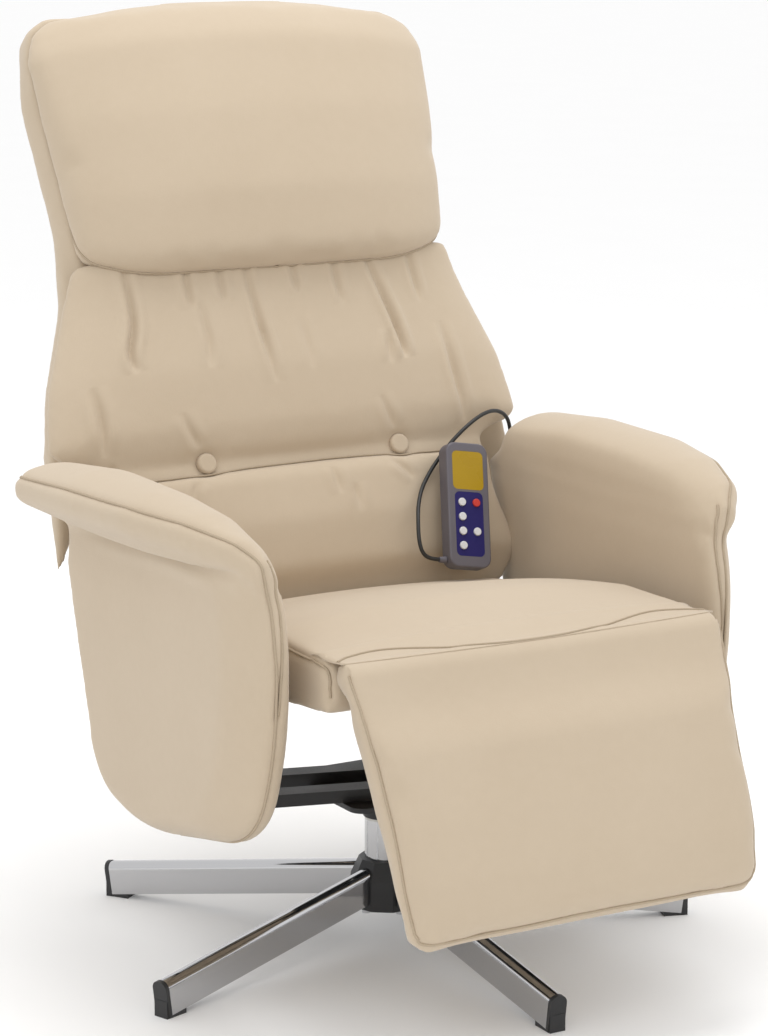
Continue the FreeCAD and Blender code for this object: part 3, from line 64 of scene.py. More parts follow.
# %% Camera
CAMERA_PLACE = Vector((-1.7924, -3.0758, 1.2476))
CAMERA_AIM = Vector((-0.0017, 0.001, 0.5078))
CAMERA_LENS = 108.64
SENSOR = 36.0

camera_data = bpy.data.cameras.new("camera")
camera_data.lens = CAMERA_LENS
camera_data.sensor_width = SENSOR
camera = bpy.data.objects.new("camera", camera_data)
camera.location = CAMERA_PLACE
camera.rotation_euler = (CAMERA_AIM - CAMERA_PLACE).to_track_quat("-Z", "Y").to_euler()
bpy.context.scene.collection.objects.link(camera)
bpy.context.scene.camera = camera
print("camera stands", round((CAMERA_AIM - CAMERA_PLACE).length, 3), "m away")

# %% [markdown]
# ## Writing materials as sums
# Shader nodes are sums with wires. This small class wraps one socket, so that a line of Python such as
# `grain * 0.3 + 0.5` adds the Math nodes for us, and one method adds any other node. The same trees could be
# wired by hand in the shader editor, but as sums they stay short enough to read.


# %% Shader helper
class Wire:
    """One output socket; Python operators on it add Math nodes."""

    def __init__(self, tree, socket):
        self.tree = tree
        self.socket = socket

    def _math(self, operation, first, second):
        return Build(self.tree).node("ShaderNodeMath", {"operation": operation}, {0: first, 1: second})

    def __add__(self, other):
        return self._math("ADD", self, other)

    def __radd__(self, other):
        return self._math("ADD", other, self)

    def __mul__(self, other):
        return self._math("MULTIPLY", self, other)


class Build:
    """Adds nodes to one material's tree."""

    def __init__(self, tree):
        self.tree = tree

    def node(self, kind, settings=None, sockets=None, out=0):
        made = self.tree.nodes.new(kind)
        for key, value in (settings or {}).items():
            setattr(made, key, value)
        for key, value in (sockets or {}).items():
            if isinstance(value, Wire):
                self.tree.links.new(value.socket, made.inputs[key])
            else:
                made.inputs[key].default_value = value
        return Wire(self.tree, made.outputs[out])

    def noise(self, scale, detail=3.0, stretch=None):
        place = self.node("ShaderNodeTexCoord", out="Object")
        if stretch:
            place = self.node("ShaderNodeMapping", {}, {"Vector": place, "Scale": stretch})
        sockets = {"Vector": place, "Scale": scale, "Detail": detail}
        return self.node("ShaderNodeTexNoise", {}, sockets, out="Fac")

    def mix(self, factor, first, second):
        settings = {"data_type": "RGBA"}
        return self.node("ShaderNodeMix", settings, {0: factor, 6: first, 7: second}, out=2)


print("sums of sockets are ready")


# %% New material
def new_material(name, fixed, build):
    """A material with fixed shader values and a function that returns the varying ones."""
    material = bpy.data.materials.new(name)
    material.use_nodes = True
    tree = material.node_tree
    shader = tree.nodes["Principled BSDF"]
    for key, value in fixed.items():
        shader.inputs[key].default_value = value
    for key, wire in build(Build(tree)).items():
        tree.links.new(wire.socket, shader.inputs[key])
    return material


def colour(red, green, blue):
    return (red, green, blue, 1.0)


print("materials at the start", len(bpy.data.materials))

# %% [markdown]
# ## Cream cloth
# The chair wears one smooth, matte, brushed cloth. Seen close it has a very fine nap, and from a step away a
# faint cloudiness where the nap lies differently. A photographed texture could show this, but it would need
# unwrapping and repeats. Three scales of noise give cloud, mottle and nap on any shape.

# %% Cloth material
CREAM = colour(0.552, 0.455, 0.340)
CREAM_DEEP = colour(0.485, 0.390, 0.280)


def cloth_look(build):
    cloud = build.noise(7.0, 3.0)
    mottle = build.noise(85.0, 4.0)
    nap = build.noise(1500.0, 2.0)
    weave = build.noise(620.0, 2.0, (1.0, 1.0, 0.35))
    shade = cloud * 0.55 + mottle * 0.3 + nap * 0.35
    height = nap * 0.5 + weave * 0.4 + mottle * 0.35
    bump = build.node("ShaderNodeBump", {}, {"Strength": 0.22, "Distance": 0.0012, "Height": height})
    return {"Base Color": build.mix(shade, CREAM_DEEP, CREAM), "Roughness": 0.72 + nap * 0.2, "Normal": bump}


cloth = new_material("cream_cloth", {"Sheen Weight": 0.25, "Specular IOR Level": 0.25}, cloth_look)
print("cloth", cloth.name)

# %% Piping material, darkened as painted seam shade
# The piping is the same cloth as the cover; its darker colour is painted shade standing in for the dark
# crease of the seam.
PIPING_PAINTED_SHADE_CREAM = colour(0.34, 0.27, 0.19)


def piping_painted_shade_look(build):
    nap = build.noise(900.0, 2.0)
    bump = build.node("ShaderNodeBump", {}, {"Strength": 0.3, "Distance": 0.0008, "Height": nap})
    return {"Base Color": build.mix(nap, PIPING_PAINTED_SHADE_CREAM, CREAM_DEEP), "Normal": bump}


piping_cloth_painted_shade = new_material("piping_cloth_painted_shade", {"Roughness": 0.8}, piping_painted_shade_look)
print("piping", piping_cloth_painted_shade.name)

# %% [markdown]
# ## Metal, plastic and wood
# Chrome is nearly a mirror, but hands and polish leave a faint haze. Powder coat and moulded plastic both
# have a grain. Each could have a tree of its own; one function with two tones and a grain size makes them
# all, since they differ in little else. Plain bands of noise are enough for the hidden plywood boards.


# %% Chrome
def hazed(build, low, high, scale):
    return low + build.noise(scale, 4.0) * (high - low)


def chrome_look(build):
    return {"Roughness": hazed(build, 0.05, 0.16, 40.0)}


chrome = new_material("chrome_plate", {"Base Color": colour(0.52, 0.52, 0.53), "Metallic": 1.0}, chrome_look)
print("metal", chrome.name)


# %% Grained plastics, coats and rubbers
def grained(dark, light, grain_scale, strength, rough):
    def look(build):
        grain = build.noise(grain_scale, 2.0)
        smear = build.noise(25.0, 3.0)
        bump = build.node("ShaderNodeBump", {}, {"Strength": strength, "Distance": 0.0005, "Height": grain})
        tone = build.mix(smear, dark, light)
        return {"Base Color": tone, "Roughness": rough + smear * 0.15, "Normal": bump}
    return look


black_plastic = new_material("black_moulded_plastic", {}, grained(
    colour(0.012, 0.012, 0.013), colour(0.026, 0.026, 0.028), 1400.0, 0.25, 0.38))
black_coat = new_material("black_powder_coat", {}, grained(
    colour(0.010, 0.010, 0.011), colour(0.022, 0.022, 0.024), 2200.0, 0.3, 0.42))
plated = new_material("zinc_plate", {"Metallic": 1.0}, grained(
    colour(0.52, 0.52, 0.54), colour(0.66, 0.66, 0.68), 500.0, 0.15, 0.28))
nylon = new_material("natural_nylon", {}, grained(
    colour(0.70, 0.69, 0.64), colour(0.78, 0.77, 0.73), 800.0, 0.1, 0.4))
case_plastic = new_material("handset_case", {}, grained(
    colour(0.100, 0.092, 0.108), colour(0.130, 0.120, 0.140), 1800.0, 0.2, 0.40))
keypad_print = new_material("handset_keypad", {"Specular IOR Level": 0.2}, grained(
    colour(0.016, 0.013, 0.100), colour(0.024, 0.020, 0.130), 1500.0, 0.08, 0.34))
screen_window = new_material("handset_screen", {"Specular IOR Level": 0.3}, grained(
    colour(0.35, 0.215, 0.002), colour(0.41, 0.26, 0.005), 300.0, 0.03, 0.2))
key_white = new_material("white_rubber", {}, grained(
    colour(0.60, 0.60, 0.62), colour(0.72, 0.72, 0.73), 1600.0, 0.15, 0.45))
key_red = new_material("red_rubber", {}, grained(
    colour(0.50, 0.028, 0.018), colour(0.62, 0.045, 0.03), 1600.0, 0.15, 0.45))
cord_sheath = new_material("cord_sheath", {}, grained(
    colour(0.012, 0.012, 0.012), colour(0.024, 0.024, 0.024), 900.0, 0.2, 0.4))
print("materials so far", len(bpy.data.materials))


# %% Plywood
def plywood_look(build):
    grain = build.noise(14.0, 5.0, (1.0, 9.0, 9.0))
    fibre = build.noise(260.0, 3.0, (0.15, 1.0, 1.0))
    tone = build.mix(grain * 0.7 + fibre * 0.3, colour(0.42, 0.27, 0.13), colour(0.66, 0.48, 0.27))
    bump = build.node("ShaderNodeBump", {}, {"Strength": 0.2, "Distance": 0.0006, "Height": fibre})
    return {"Base Color": tone, "Normal": bump}


plywood = new_material("plywood", {"Roughness": 0.6}, plywood_look)
print("boards wear", plywood.name)

# %% Dress every rigid piece
SLOT_LOOKS = {
    "upholstery": cloth, "chrome": chrome, "black_plastic": black_plastic, "black_steel": black_coat,
    "plywood": plywood, "plated_steel": plated, "nylon": nylon, "handset_case": case_plastic,
    "handset_screen": screen_window, "handset_keypad": keypad_print, "key_white": key_white,
    "key_red": key_red, "cord_black": cord_sheath}


def wear(piece, material):
    piece.data.materials.clear()
    piece.data.materials.append(material)


for entry in frame["record"]["subparts"]:
    wear(frame["nodes"][entry["node"]], SLOT_LOOKS[entry["material_slot"]])

# %% [markdown]
# ## The handset's cord
# A thin black cord leaves the handset low on its side, curls up behind it, crosses to the arm and goes over
# the arm's rear end into a sleeve. It could be a chain of rigid links, but a NURBS curve with a round bevel
# has the cord's smooth lie and a fixed thickness, and its points can be measured.

# %% Cord
CORD_DIAMETER = 0.005
CORD_ROUTE = [Vector(point) * MM for point in (
    (135.2, 102.8, 423.62), (122.38, 103.58, 425.65), (112.5, 105.0, 434.0), (110.0, 109.0, 450.0),
    (115.0, 119.0, 468.0), (125.0, 136.0, 485.0), (139.0, 152.0, 502.0), (157.0, 163.0, 519.0),
    (176.0, 169.5, 536.0), (197.0, 174.0, 554.0), (222.0, 178.0, 571.0), (249.0, 185.5, 582.0),
    (275.0, 196.0, 583.0), (298.0, 206.0, 571.0), (307.0, 212.0, 547.0), (307.0, 210.0, 522.0),
    (303.0, 202.0, 500.0), (299.5, 186.8, 480.6), (299.5, 176.4, 472.8))]

cord_curve = bpy.data.curves.new("handset_cord_line", "CURVE")
cord_curve.dimensions = "3D"
cord_curve.bevel_depth = CORD_DIAMETER / 2
cord_curve.bevel_resolution = 4
cord_curve.resolution_u = 8
cord_curve.use_fill_caps = True
spline = cord_curve.splines.new("NURBS")
spline.points.add(len(CORD_ROUTE) - 1)
for point, place in zip(spline.points, CORD_ROUTE):
    point.co = (*place, 1.0)
spline.order_u = 3
spline.use_endpoint_u = True
cord = bpy.data.objects.new("handset_cord_sheath", cord_curve)
bpy.context.scene.collection.objects.link(cord)
wear(cord, cord_sheath)
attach(cord, "carriage")
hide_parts("handset_cord")
print("cord points", len(CORD_ROUTE))

# %% [markdown]
# ## Foam under cloth
# Upholstery is foam pressed outwards against a sewn cover. We copy the plain solids of a cushion, melt them
# into one even skin with a voxel remesh and ease the edges. The two softest pads also swell as Blender cloth
# under pressure, with a cap on the travel that keeps them as firm as real foam. Sculpting could reach the
# same form, but this way the pads keep the sizes of the rigid pieces, and running the file makes them again.


# %% Copies of the rigid pieces
def new_piece(name, mesh):
    piece = bpy.data.objects.new(name, mesh)
    bpy.context.scene.collection.objects.link(piece)
    return piece


def add_copy(shape, node, matrix):
    start = len(shape.verts)
    shape.from_mesh(frame["nodes"][node].data)
    shape.verts.ensure_lookup_table()
    bmesh.ops.transform(shape, matrix=matrix, verts=shape.verts[start:])


def about(node, scale):
    """A matrix that scales about the middle of a node's box."""
    low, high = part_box(node)
    middle = (low + high) / 2
    return Matrix.Translation(middle) @ Matrix.Diagonal((*scale, 1.0)) @ Matrix.Translation(-middle)


def joined_copy(name, nodes, moved=(), add=None):
    """One mesh of copies of the nodes, of copies moved by a matrix, and of what a function adds."""
    shape = bmesh.new()
    for node in nodes:
        add_copy(shape, node, Matrix.Identity(4))
    for node, matrix in moved:
        add_copy(shape, node, matrix)
    if add:
        add(shape)
    bmesh.ops.remove_doubles(shape, verts=shape.verts, dist=0.02 * MM)
    mesh = bpy.data.meshes.new(name)
    shape.to_mesh(mesh)
    shape.free()
    return new_piece(name, mesh)


print("copies come from", len(frame["nodes"]), "rigid pieces")


# %% An even skin with eased edges
def keep_result(piece):
    """Replace a piece's mesh by what its modifiers make of it, and drop the modifiers."""
    bpy.context.view_layer.update()
    depsgraph = bpy.context.evaluated_depsgraph_get()
    mesh = bpy.data.meshes.new_from_object(piece.evaluated_get(depsgraph), depsgraph=depsgraph)
    piece.modifiers.clear()
    old = piece.data
    piece.data = mesh
    bpy.data.meshes.remove(old)


def even_skin(piece, voxel):
    remesh = piece.modifiers.new("skin", "REMESH")
    remesh.mode = "VOXEL"
    remesh.voxel_size = voxel
    keep_result(piece)


def ease(piece, rounds, factor=0.5):
    shape = bmesh.new()
    shape.from_mesh(piece.data)
    for _ in range(rounds):
        bmesh.ops.smooth_vert(shape, verts=shape.verts, factor=factor, use_axis_x=True, use_axis_y=True,
                              use_axis_z=True)
    shape.to_mesh(piece.data)
    shape.free()


FRONT_VOXEL = 0.0041
FIRM_VOXEL = 0.0045
SOFT_VOXEL = 0.005
REAR_VOXEL = 0.0055
print("skins have voxels of", FRONT_VOXEL / MM, "to", REAR_VOXEL / MM, "mm")

# %% Swelling cover
SWELL_FRAMES = 20
PRESSURE = 4.0
SWELL_CAP = 0.008


def swell(piece, cap):
    """Let the cover swell under pressure, with each point's travel capped."""
    before = [vertex.co.copy() for vertex in piece.data.vertices]
    scene = bpy.context.scene
    cover = piece.modifiers.new("cover", "CLOTH")
    cover.settings.quality = 4
    cover.settings.use_pressure = True
    cover.settings.uniform_pressure_force = PRESSURE
    cover.settings.tension_stiffness = 20.0
    cover.settings.compression_stiffness = 20.0
    cover.settings.bending_stiffness = 2.0
    cover.settings.effector_weights.gravity = 0.0
    cover.point_cache.frame_start = 1
    cover.point_cache.frame_end = SWELL_FRAMES
    for number in range(1, SWELL_FRAMES + 1):
        scene.frame_set(number)
    keep_result(piece)
    scene.frame_set(1)
    furthest = 0.0
    for vertex, place in zip(piece.data.vertices, before):
        move = vertex.co - place
        if move.length > cap:
            vertex.co = place + move.normalized() * cap
        furthest = max(furthest, move.length)
    print(piece.name, "swelled", round(furthest / MM, 1), "mm before the cap")


print("cover swells for", SWELL_FRAMES, "frames")


# %% Finish of a padded piece
def smooth_shade(piece):
    for face in piece.data.polygons:
        face.use_smooth = True


def finish_pad(piece, body, nodes):
    smooth_shade(piece)
    wear(piece, cloth)
    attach(piece, body)
    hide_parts(*nodes)
    print(piece.name, "faces", len(piece.data.polygons))


print("padded pieces wear", cloth.name)

# %% [markdown]
# ## Seams and folds
# Where two panels of cloth meet, a cord wrapped in the same cloth is sewn between them. We give the seam's
# way roughly, drop each of its points onto the padding, press a small valley into the padding beside it and
# lay a thin tube in the valley. A fold is the same valley without the tube, with a soft ridge on each side.
# A bump map could draw both, but real valleys catch the light from every side.


# %% A smooth way on the padding
def smooth_way(points, steps):
    """Points along a Catmull-Rom way through the given points."""
    longer = [2 * points[0] - points[1]] + points + [2 * points[-1] - points[-2]]
    way = []
    for before, start, end, after in zip(longer, longer[1:], longer[2:], longer[3:]):
        for step in range(steps):
            t = step / steps
            bend = (2 * before - 5 * start + 4 * end - after) * t * t
            twist = (3 * start - before - 3 * end + after) * t ** 3
            way.append(0.5 * (2 * start + (end - before) * t + bend + twist))
    way.append(points[-1].copy())
    return way


EVEN_ROUNDS = 30


def skin_tree(piece):
    places = [vertex.co for vertex in piece.data.vertices]
    return BVHTree.FromPolygons(places, [face.vertices for face in piece.data.polygons])


def settle(piece, way, lift):
    """Drop a way onto the padding's skin, lift it a little along the outward direction and even it out."""
    tree = skin_tree(piece)
    placed = []
    for point in way:
        place, normal, _, _ = tree.find_nearest(point)
        placed.append(place + normal * lift)
    for _ in range(EVEN_ROUNDS):
        inner = [(a + 2 * b + c) / 4 for a, b, c in zip(placed, placed[1:], placed[2:])]
        placed = [placed[0]] + inner + [placed[-1]]
    return placed


print("a way is evened out", EVEN_ROUNDS, "times")


# %% A valley beside a way
def shape_beside(piece, way, reach, profile):
    """Move the skin near a way along its outward direction by profile(distance, share of the way)."""
    tree = KDTree(len(way))
    for index, point in enumerate(way):
        tree.insert(point, index)
    tree.balance()
    last = len(way) - 1
    moves = []
    for vertex in piece.data.vertices:
        _, index, distance = tree.find(vertex.co)
        if distance < reach:
            moves.append((vertex.index, vertex.normal * profile(distance, index / last)))
    for index, move in moves:
        piece.data.vertices[index].co += move


def press_beside(piece, way, reach, depth):
    """Press a valley that is deepest on the way and ends at a reach from it."""
    shape_beside(piece, way, reach, lambda distance, share: -depth * (1 - distance / reach) ** 2)


def tube(name, way, radius):
    curve = bpy.data.curves.new(name, "CURVE")
    curve.dimensions = "3D"
    curve.bevel_depth = radius
    curve.bevel_resolution = 2
    curve.use_fill_caps = True
    line = curve.splines.new("POLY")
    line.points.add(len(way) - 1)
    for point, place in zip(line.points, way):
        point.co = (*place, 1.0)
    shaper = bpy.data.objects.new(name, curve)
    bpy.context.scene.collection.objects.link(shaper)
    bpy.context.view_layer.update()
    mesh = bpy.data.meshes.new_from_object(shaper.evaluated_get(bpy.context.evaluated_depsgraph_get()))
    bpy.data.objects.remove(shaper)
    return new_piece(name, mesh)


print("valleys and tubes are ready")

# %% Seams
PIPING_RADIUS = 0.0016
THIN_PIPING = 0.0013
WAY_STEPS = 40
SEAM_REACH = 0.011
SEAM_DEPTH = 0.0026


def seam(name, piece, body, points, depth=SEAM_DEPTH, radius=PIPING_RADIUS, lift=0.35):
    """A piped seam on a padded piece along a rough way."""
    way = settle(piece, smooth_way(points, WAY_STEPS), 0.0)
    press_beside(piece, way, SEAM_REACH, depth)
    cord_line = tube(name, settle(piece, way, radius * lift), radius)
    smooth_shade(cord_line)
    # The tube wears the darker piping colour, which paints the shade of the seam's crease.
    wear(cord_line, piping_cloth_painted_shade)
    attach(cord_line, body)


print("piping", 2 * PIPING_RADIUS / MM, "mm thick")

# %% Folds
RIDGE_SHARE = 0.45
RIDGE_PLACE = 2.8
RIDGE_WIDTH = 1.5
FOLD_REACH = 6.0
FADE_POWER = 0.8


def fold(piece, points, depth, width, ridge=RIDGE_SHARE):
    """A soft fold along a rough way: a valley that fades at both ends, between two ridges."""
    way = settle(piece, smooth_way(points, WAY_STEPS), 0.0)

    def profile(distance, share):
        fade = max(0.0, math.sin(math.pi * share)) ** FADE_POWER
        valley = math.exp(-(distance / width) ** 2)
        beside = math.exp(-((distance - RIDGE_PLACE * width) / (RIDGE_WIDTH * width)) ** 2)
        return depth * fade * (ridge * beside - valley)

    shape_beside(piece, way, FOLD_REACH * width, profile)


def mirrored(points):
    return [Vector((-point.x, point.y, point.z)) for point in points]


print("a fold reaches", FOLD_REACH, "times its width")

# %% [markdown]
# ## Working frames
# The back leans, the seat slopes and the footrest hangs forward. Each has a flat working frame, with the same
# origin and tilt as the rigid pieces, so that a seam can be given across, along and out of the panel. Empties
# with a rotation could do the same; two directions and an origin are all that is needed.

# %% Frames of the back, seat and footrest
BACK_TILT = 20.5
SEAT_SLOPE = 5.0
FOOT_TILT = 23.5
BACK_ORIGIN = (0, 200, 551)
SEAT_ORIGIN = (0, -291.5, 434)
FOOT_HINGE = (0, -318, 413)


class Panel:
    """A flat working frame in millimetres: across is X, then along and out."""

    def __init__(self, origin, along, out):
        self.origin = Vector(origin) * MM
        self.along = Vector(along)
        self.out = Vector(out)

    def at(self, across, along, out):
        return self.origin + MM * (Vector((across, 0, 0)) + self.along * along + self.out * out)

    def read(self, point):
        offset = (point - self.origin) / MM
        return offset.x, offset.dot(self.along), offset.dot(self.out)


def turn(degrees):
    return math.cos(math.radians(degrees)), math.sin(math.radians(degrees))


def share_of(value, run):
    """A value as a share of a run, from 0 to 1."""
    return min(1.0, max(0.0, value / run))


def past(value, start, run):
    """How far a value is past a start, as a share of a run, squared."""
    return max(0.0, (value - start) / run) ** 2


def sign_of(value):
    return 1 if value > 0 else -1


back_cos, back_sin = turn(BACK_TILT)
seat_cos, seat_sin = turn(SEAT_SLOPE)
foot_cos, foot_sin = turn(FOOT_TILT)
on_back = Panel(BACK_ORIGIN, (0, back_sin, back_cos), (0, back_cos, -back_sin))
on_seat = Panel(SEAT_ORIGIN, (0, seat_cos, -seat_sin), (0, seat_sin, seat_cos))
on_foot = Panel(FOOT_HINGE, (0, -foot_sin, -foot_cos), (0, -foot_cos, foot_sin))
print("foot of the back at", [round(value, 3) for value in on_back.at(0, -162, 0)])

# %% [markdown]
# ## Seat cushion
# The seat is a wide, firm pad with a crown, and its cover is drawn down over the board below it. It could be
# sculpted by hand, but easing a copy of the rigid pad and adding a sine crown keeps it at its real size.

# %% Crown of the seat
CROWN_RISE = 9.0
CROWN_RUN = 345.0
CROWN_SKIRT = 22.0
CROWN_FADE = 16.0
SEAT_HALF_WIDTH = 245.0


def raise_crown(piece):
    """Fill the seat's top out towards its front, and leave it as it is where the handset lies."""
    for vertex in piece.data.vertices:
        across, along, out = on_seat.read(vertex.co)
        run = share_of(along, CROWN_RUN)
        top = share_of(out + CROWN_SKIRT, CROWN_FADE)
        side = max(0.0, 1.0 - (across / SEAT_HALF_WIDTH) ** 4)
        vertex.co += MM * on_seat.out * CROWN_RISE * math.sin(math.pi * run) * top * side


print("crown", CROWN_RISE, "mm over", CROWN_RUN, "mm")

# %% Seat cushion
BOARD_NARROWER = 0.93
SEAT_SEAM_ACROSS = 241.0
seat = joined_copy("seat_pad", ["seat_cushion", "seat_motors"],
                   [("seat_board", about("seat_board", (BOARD_NARROWER, 1, 1)))])
even_skin(seat, FIRM_VOXEL)
ease(seat, 8)
raise_crown(seat)
ease(seat, 2)
SEAT_SEAM = ((2, -44), (0, -28), (6, -13), (26, -7), (60, -4), (130, 2), (220, -4), (330, -14))
for side, hand in ((-1, "right"), (1, "left")):
    seam("seat_side_seam_" + hand, seat, "carriage",
         [on_seat.at(side * SEAT_SEAM_ACROSS, along, out) for along, out in SEAT_SEAM])
finish_pad(seat, "carriage", ["seat_cushion", "seat_board"])

# %% [markdown]
# ## Lap over the footrest
# At the front the seat's cover runs on over the footrest's round end, so that no gap opens there. The lap is
# a thin sheet: it starts on the cushion, crosses to the crest of the round end, and reaches furthest in the
# middle. Its piped edge bows forward with it. A grid of points with a solidify step is enough for a sheet.

# %% Reach of the lap
LAP_HALF_WIDTH = 238.0
LAP_RADIUS = 20.9
LAP_START = (-252.0, -266.0, -280.0)
LAP_SIDE_END = 92.0
LAP_MIDDLE_END = 110.0
LAP_THICK = 0.0012
LAP_COLUMNS = 48
LAP_SINK = (-1.0, 0.6, 1.2)
LAP_MARGIN = 3.0
LAP_BULGE = 1.4
LAP_BULGE_ANGLE = 62.0
LAP_EASE_ANGLE = 8.0
LAP_STEPS = 4


def nose_point(x, radius, degrees):
    cosine, sine = turn(degrees)
    return Vector((x, FOOT_HINGE[1] + radius * cosine, FOOT_HINGE[2] + radius * sine)) * MM


def lap_reach(x):
    share = x / LAP_HALF_WIDTH
    return LAP_SIDE_END + (LAP_MIDDLE_END - LAP_SIDE_END) * (1 - share * share)


def skin_height(tree, x, y):
    place, _, _, _ = tree.ray_cast(Vector((x * MM, y * MM, 1.0)), Vector((0, 0, -1)))
    return place.z


print("lap reaches", lap_reach(LAP_HALF_WIDTH), "to", lap_reach(0), "degrees round the end")

# %% Lap sheet
seat_tree = skin_tree(seat)
lap_shape = bmesh.new()
rows = []
for column in range(LAP_COLUMNS + 1):
    x = LAP_HALF_WIDTH * (2 * column / LAP_COLUMNS - 1)
    inside = max(-LAP_HALF_WIDTH + LAP_MARGIN, min(LAP_HALF_WIDTH - LAP_MARGIN, x))
    points = [Vector((x * MM, y * MM, skin_height(seat_tree, inside, y) + sink * MM))
              for y, sink in zip(LAP_START, LAP_SINK)]
    points.append(nose_point(x, LAP_RADIUS + LAP_BULGE, LAP_BULGE_ANGLE))
    points.append(nose_point(x, LAP_RADIUS, LAP_SIDE_END - LAP_EASE_ANGLE))
    points.append(nose_point(x, LAP_RADIUS, lap_reach(x)))
    rows.append([lap_shape.verts.new(point) for point in smooth_way(points, LAP_STEPS)])
for row, following in zip(rows, rows[1:]):
    for near, far, far_next, near_next in zip(row, row[1:], following[1:], following):
        lap_shape.faces.new((near, near_next, far_next, far))
bmesh.ops.recalc_face_normals(lap_shape, faces=lap_shape.faces)
if sum(face.normal.z for face in lap_shape.faces) < 0:
    bmesh.ops.reverse_faces(lap_shape, faces=lap_shape.faces)
bmesh.ops.solidify(lap_shape, geom=list(lap_shape.faces), thickness=LAP_THICK)
lap_mesh = bpy.data.meshes.new("seat_lap")
lap_shape.to_mesh(lap_mesh)
lap_shape.free()
lap = new_piece("seat_lap", lap_mesh)
smooth_shade(lap)
wear(lap, cloth)
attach(lap, "carriage")
print("lap faces", len(lap.data.polygons))

# %% Piped edge of the lap
LAP_SEAM_HEIGHT = 436.0
LAP_SEAM_INSET = 4.0
LAP_SEAM = [Vector((x, y, LAP_SEAM_HEIGHT)) * MM for x, y in (
    (-236, -304), (-215, -292), (-170, -288), (-95, -312), (-45, -322))]
LAP_SEAM.append(nose_point(0, LAP_RADIUS, LAP_MIDDLE_END - LAP_SEAM_INSET))
LAP_SEAM += mirrored(LAP_SEAM[-2::-1])
seam("seat_lap_seam", lap, "carriage", LAP_SEAM, 0.0, THIN_PIPING)
print("lap seam points", len(LAP_SEAM))

# %% [markdown]
# ## Footrest pad
# The footrest is a padded board with a full face. Its rounded top end turns under the seat's lap, so it is
# made round about the hinge there, and a piped seam runs round its face. A boolean could cut the end round;
# moving its points onto the circle keeps one even skin instead.

# %% Round end of the footrest
NOSE_SIZE = 20.0
FACE_RUN = 95.0
FACING_OUT = 0.6


def slim_nose(piece):
    """Make the end round about its hinge, so that it turns under the seat's lap and swells into the face."""
    for vertex in piece.data.vertices:
        _, along, out = on_foot.read(vertex.co)
        if along < 0:
            size = math.hypot(along, out)
            around = on_foot.along * along + on_foot.out * out
            if size > 0 and vertex.normal.dot(around) > FACING_OUT * size:
                vertex.co += MM * around * (NOSE_SIZE / size - 1)
        elif along < FACE_RUN and out > NOSE_SIZE:
            share = along / FACE_RUN
            kept = share * share * (3 - 2 * share)
            vertex.co += MM * on_foot.out * (NOSE_SIZE - out) * (1 - kept)


print("round end", NOSE_SIZE, "mm about the hinge")

# %% Footrest pad
BOARD_WIDER = 1.03
footrest = joined_copy("footrest_cover", ["footrest_pad"],
                       [("footrest_board", about("footrest_board", (BOARD_WIDER, 1, 1)))])
even_skin(footrest, SOFT_VOXEL)
ease(footrest, 5)
swell(footrest, SWELL_CAP)
ease(footrest, 4)
slim_nose(footrest)
ease(footrest, 3)
slim_nose(footrest)
FACE_SEAM = [on_foot.at(across, along, out) for across, along, out in (
    (-242, -6, 16), (-241, 24, 23), (-239, 60, 25), (-233, 164, 24), (-230, 224, 19), (-226, 258, 14),
    (-219, 276, 10), (-200, 286, 8), (-80, 287, 11), (0, 287, 12))]
FACE_SEAM += mirrored(FACE_SEAM[-2::-1])
seam("footrest_face_seam", footrest, "footrest", FACE_SEAM)
finish_pad(footrest, "footrest", ["footrest_pad", "footrest_board"])

# %% [markdown]
# ## Front of the back
# The lumbar and mid-back pads are one upholstered front. A seam crosses it at the two buttons, and gathers
# fall from under the headrest where the cloth was drawn in. A cloth simulation could make gathers, but not
# at chosen places, so each gather is a fold with its own depth and way.

# %% Shape of the front
TOP_START = 190.0
TOP_RUN = 40.0
TOP_RISE = 26.0
TOP_FORWARD = 14.0
BACK_FOOT_START = -60.0
BACK_FOOT_RUN = 80.0
BACK_FOOT_INNER = 200.0
BACK_FOOT_SIDE = 50.0
BACK_FOOT_WIDER = 13.0
WING_START = 262.0
WING_RUN = 40.0
WING_TOP = 80.0
WING_DROP = 12.0
RIM = 45.0
RIM_LOW = 10.0
RIM_FADE = 40.0
RIM_BACK = 10.0
RIM_WIDER = 8.0
HALF_WIDTHS = (  # along, half the width there
    (-200, 240), (0, 258), (14, 276), (42, 315), (110, 300), (200, 266), (229, 250), (300, 250))


def half_width(along):
    """Half the width of the front at a height, between the stations of its outline."""
    for (low, narrow), (high, wide) in zip(HALF_WIDTHS, HALF_WIDTHS[1:]):
        if along <= high:
            return narrow + (wide - narrow) * (along - low) / (high - low)
    return HALF_WIDTHS[-1][1]


def lower_wings(piece):
    """Let the corners beside the arms hang a little lower than the rigid ones."""
    for vertex in piece.data.vertices:
        across, along, _ = on_back.read(vertex.co)
        share = min(1.0, past(abs(across), WING_START, WING_RUN)) * share_of(WING_TOP - along, WING_RUN)
        vertex.co -= MM * on_back.along * WING_DROP * share


def shape_front(piece):
    """Run the front up behind the headrest, and turn its sides back to the rear cover's edge."""
    for vertex in piece.data.vertices:
        across, along, _ = on_back.read(vertex.co)
        top = past(along, TOP_START, TOP_RUN)
        rim = 0.0
        if along > RIM_LOW:
            rim = min(1.0, past(abs(across), half_width(along) - RIM, RIM))
            rim *= share_of(along - RIM_LOW, RIM_FADE)
        back_off = RIM_BACK * rim - TOP_FORWARD * top
        vertex.co += MM * (on_back.along * TOP_RISE * top + on_back.out * back_off)
        outside = past(abs(across), BACK_FOOT_INNER, BACK_FOOT_SIDE)
        foot = share_of(BACK_FOOT_START - along, BACK_FOOT_RUN) * outside
        vertex.co.x += MM * (RIM_WIDER * rim + BACK_FOOT_WIDER * foot) * sign_of(across)


print("half width at the buttons", half_width(0), "mm")


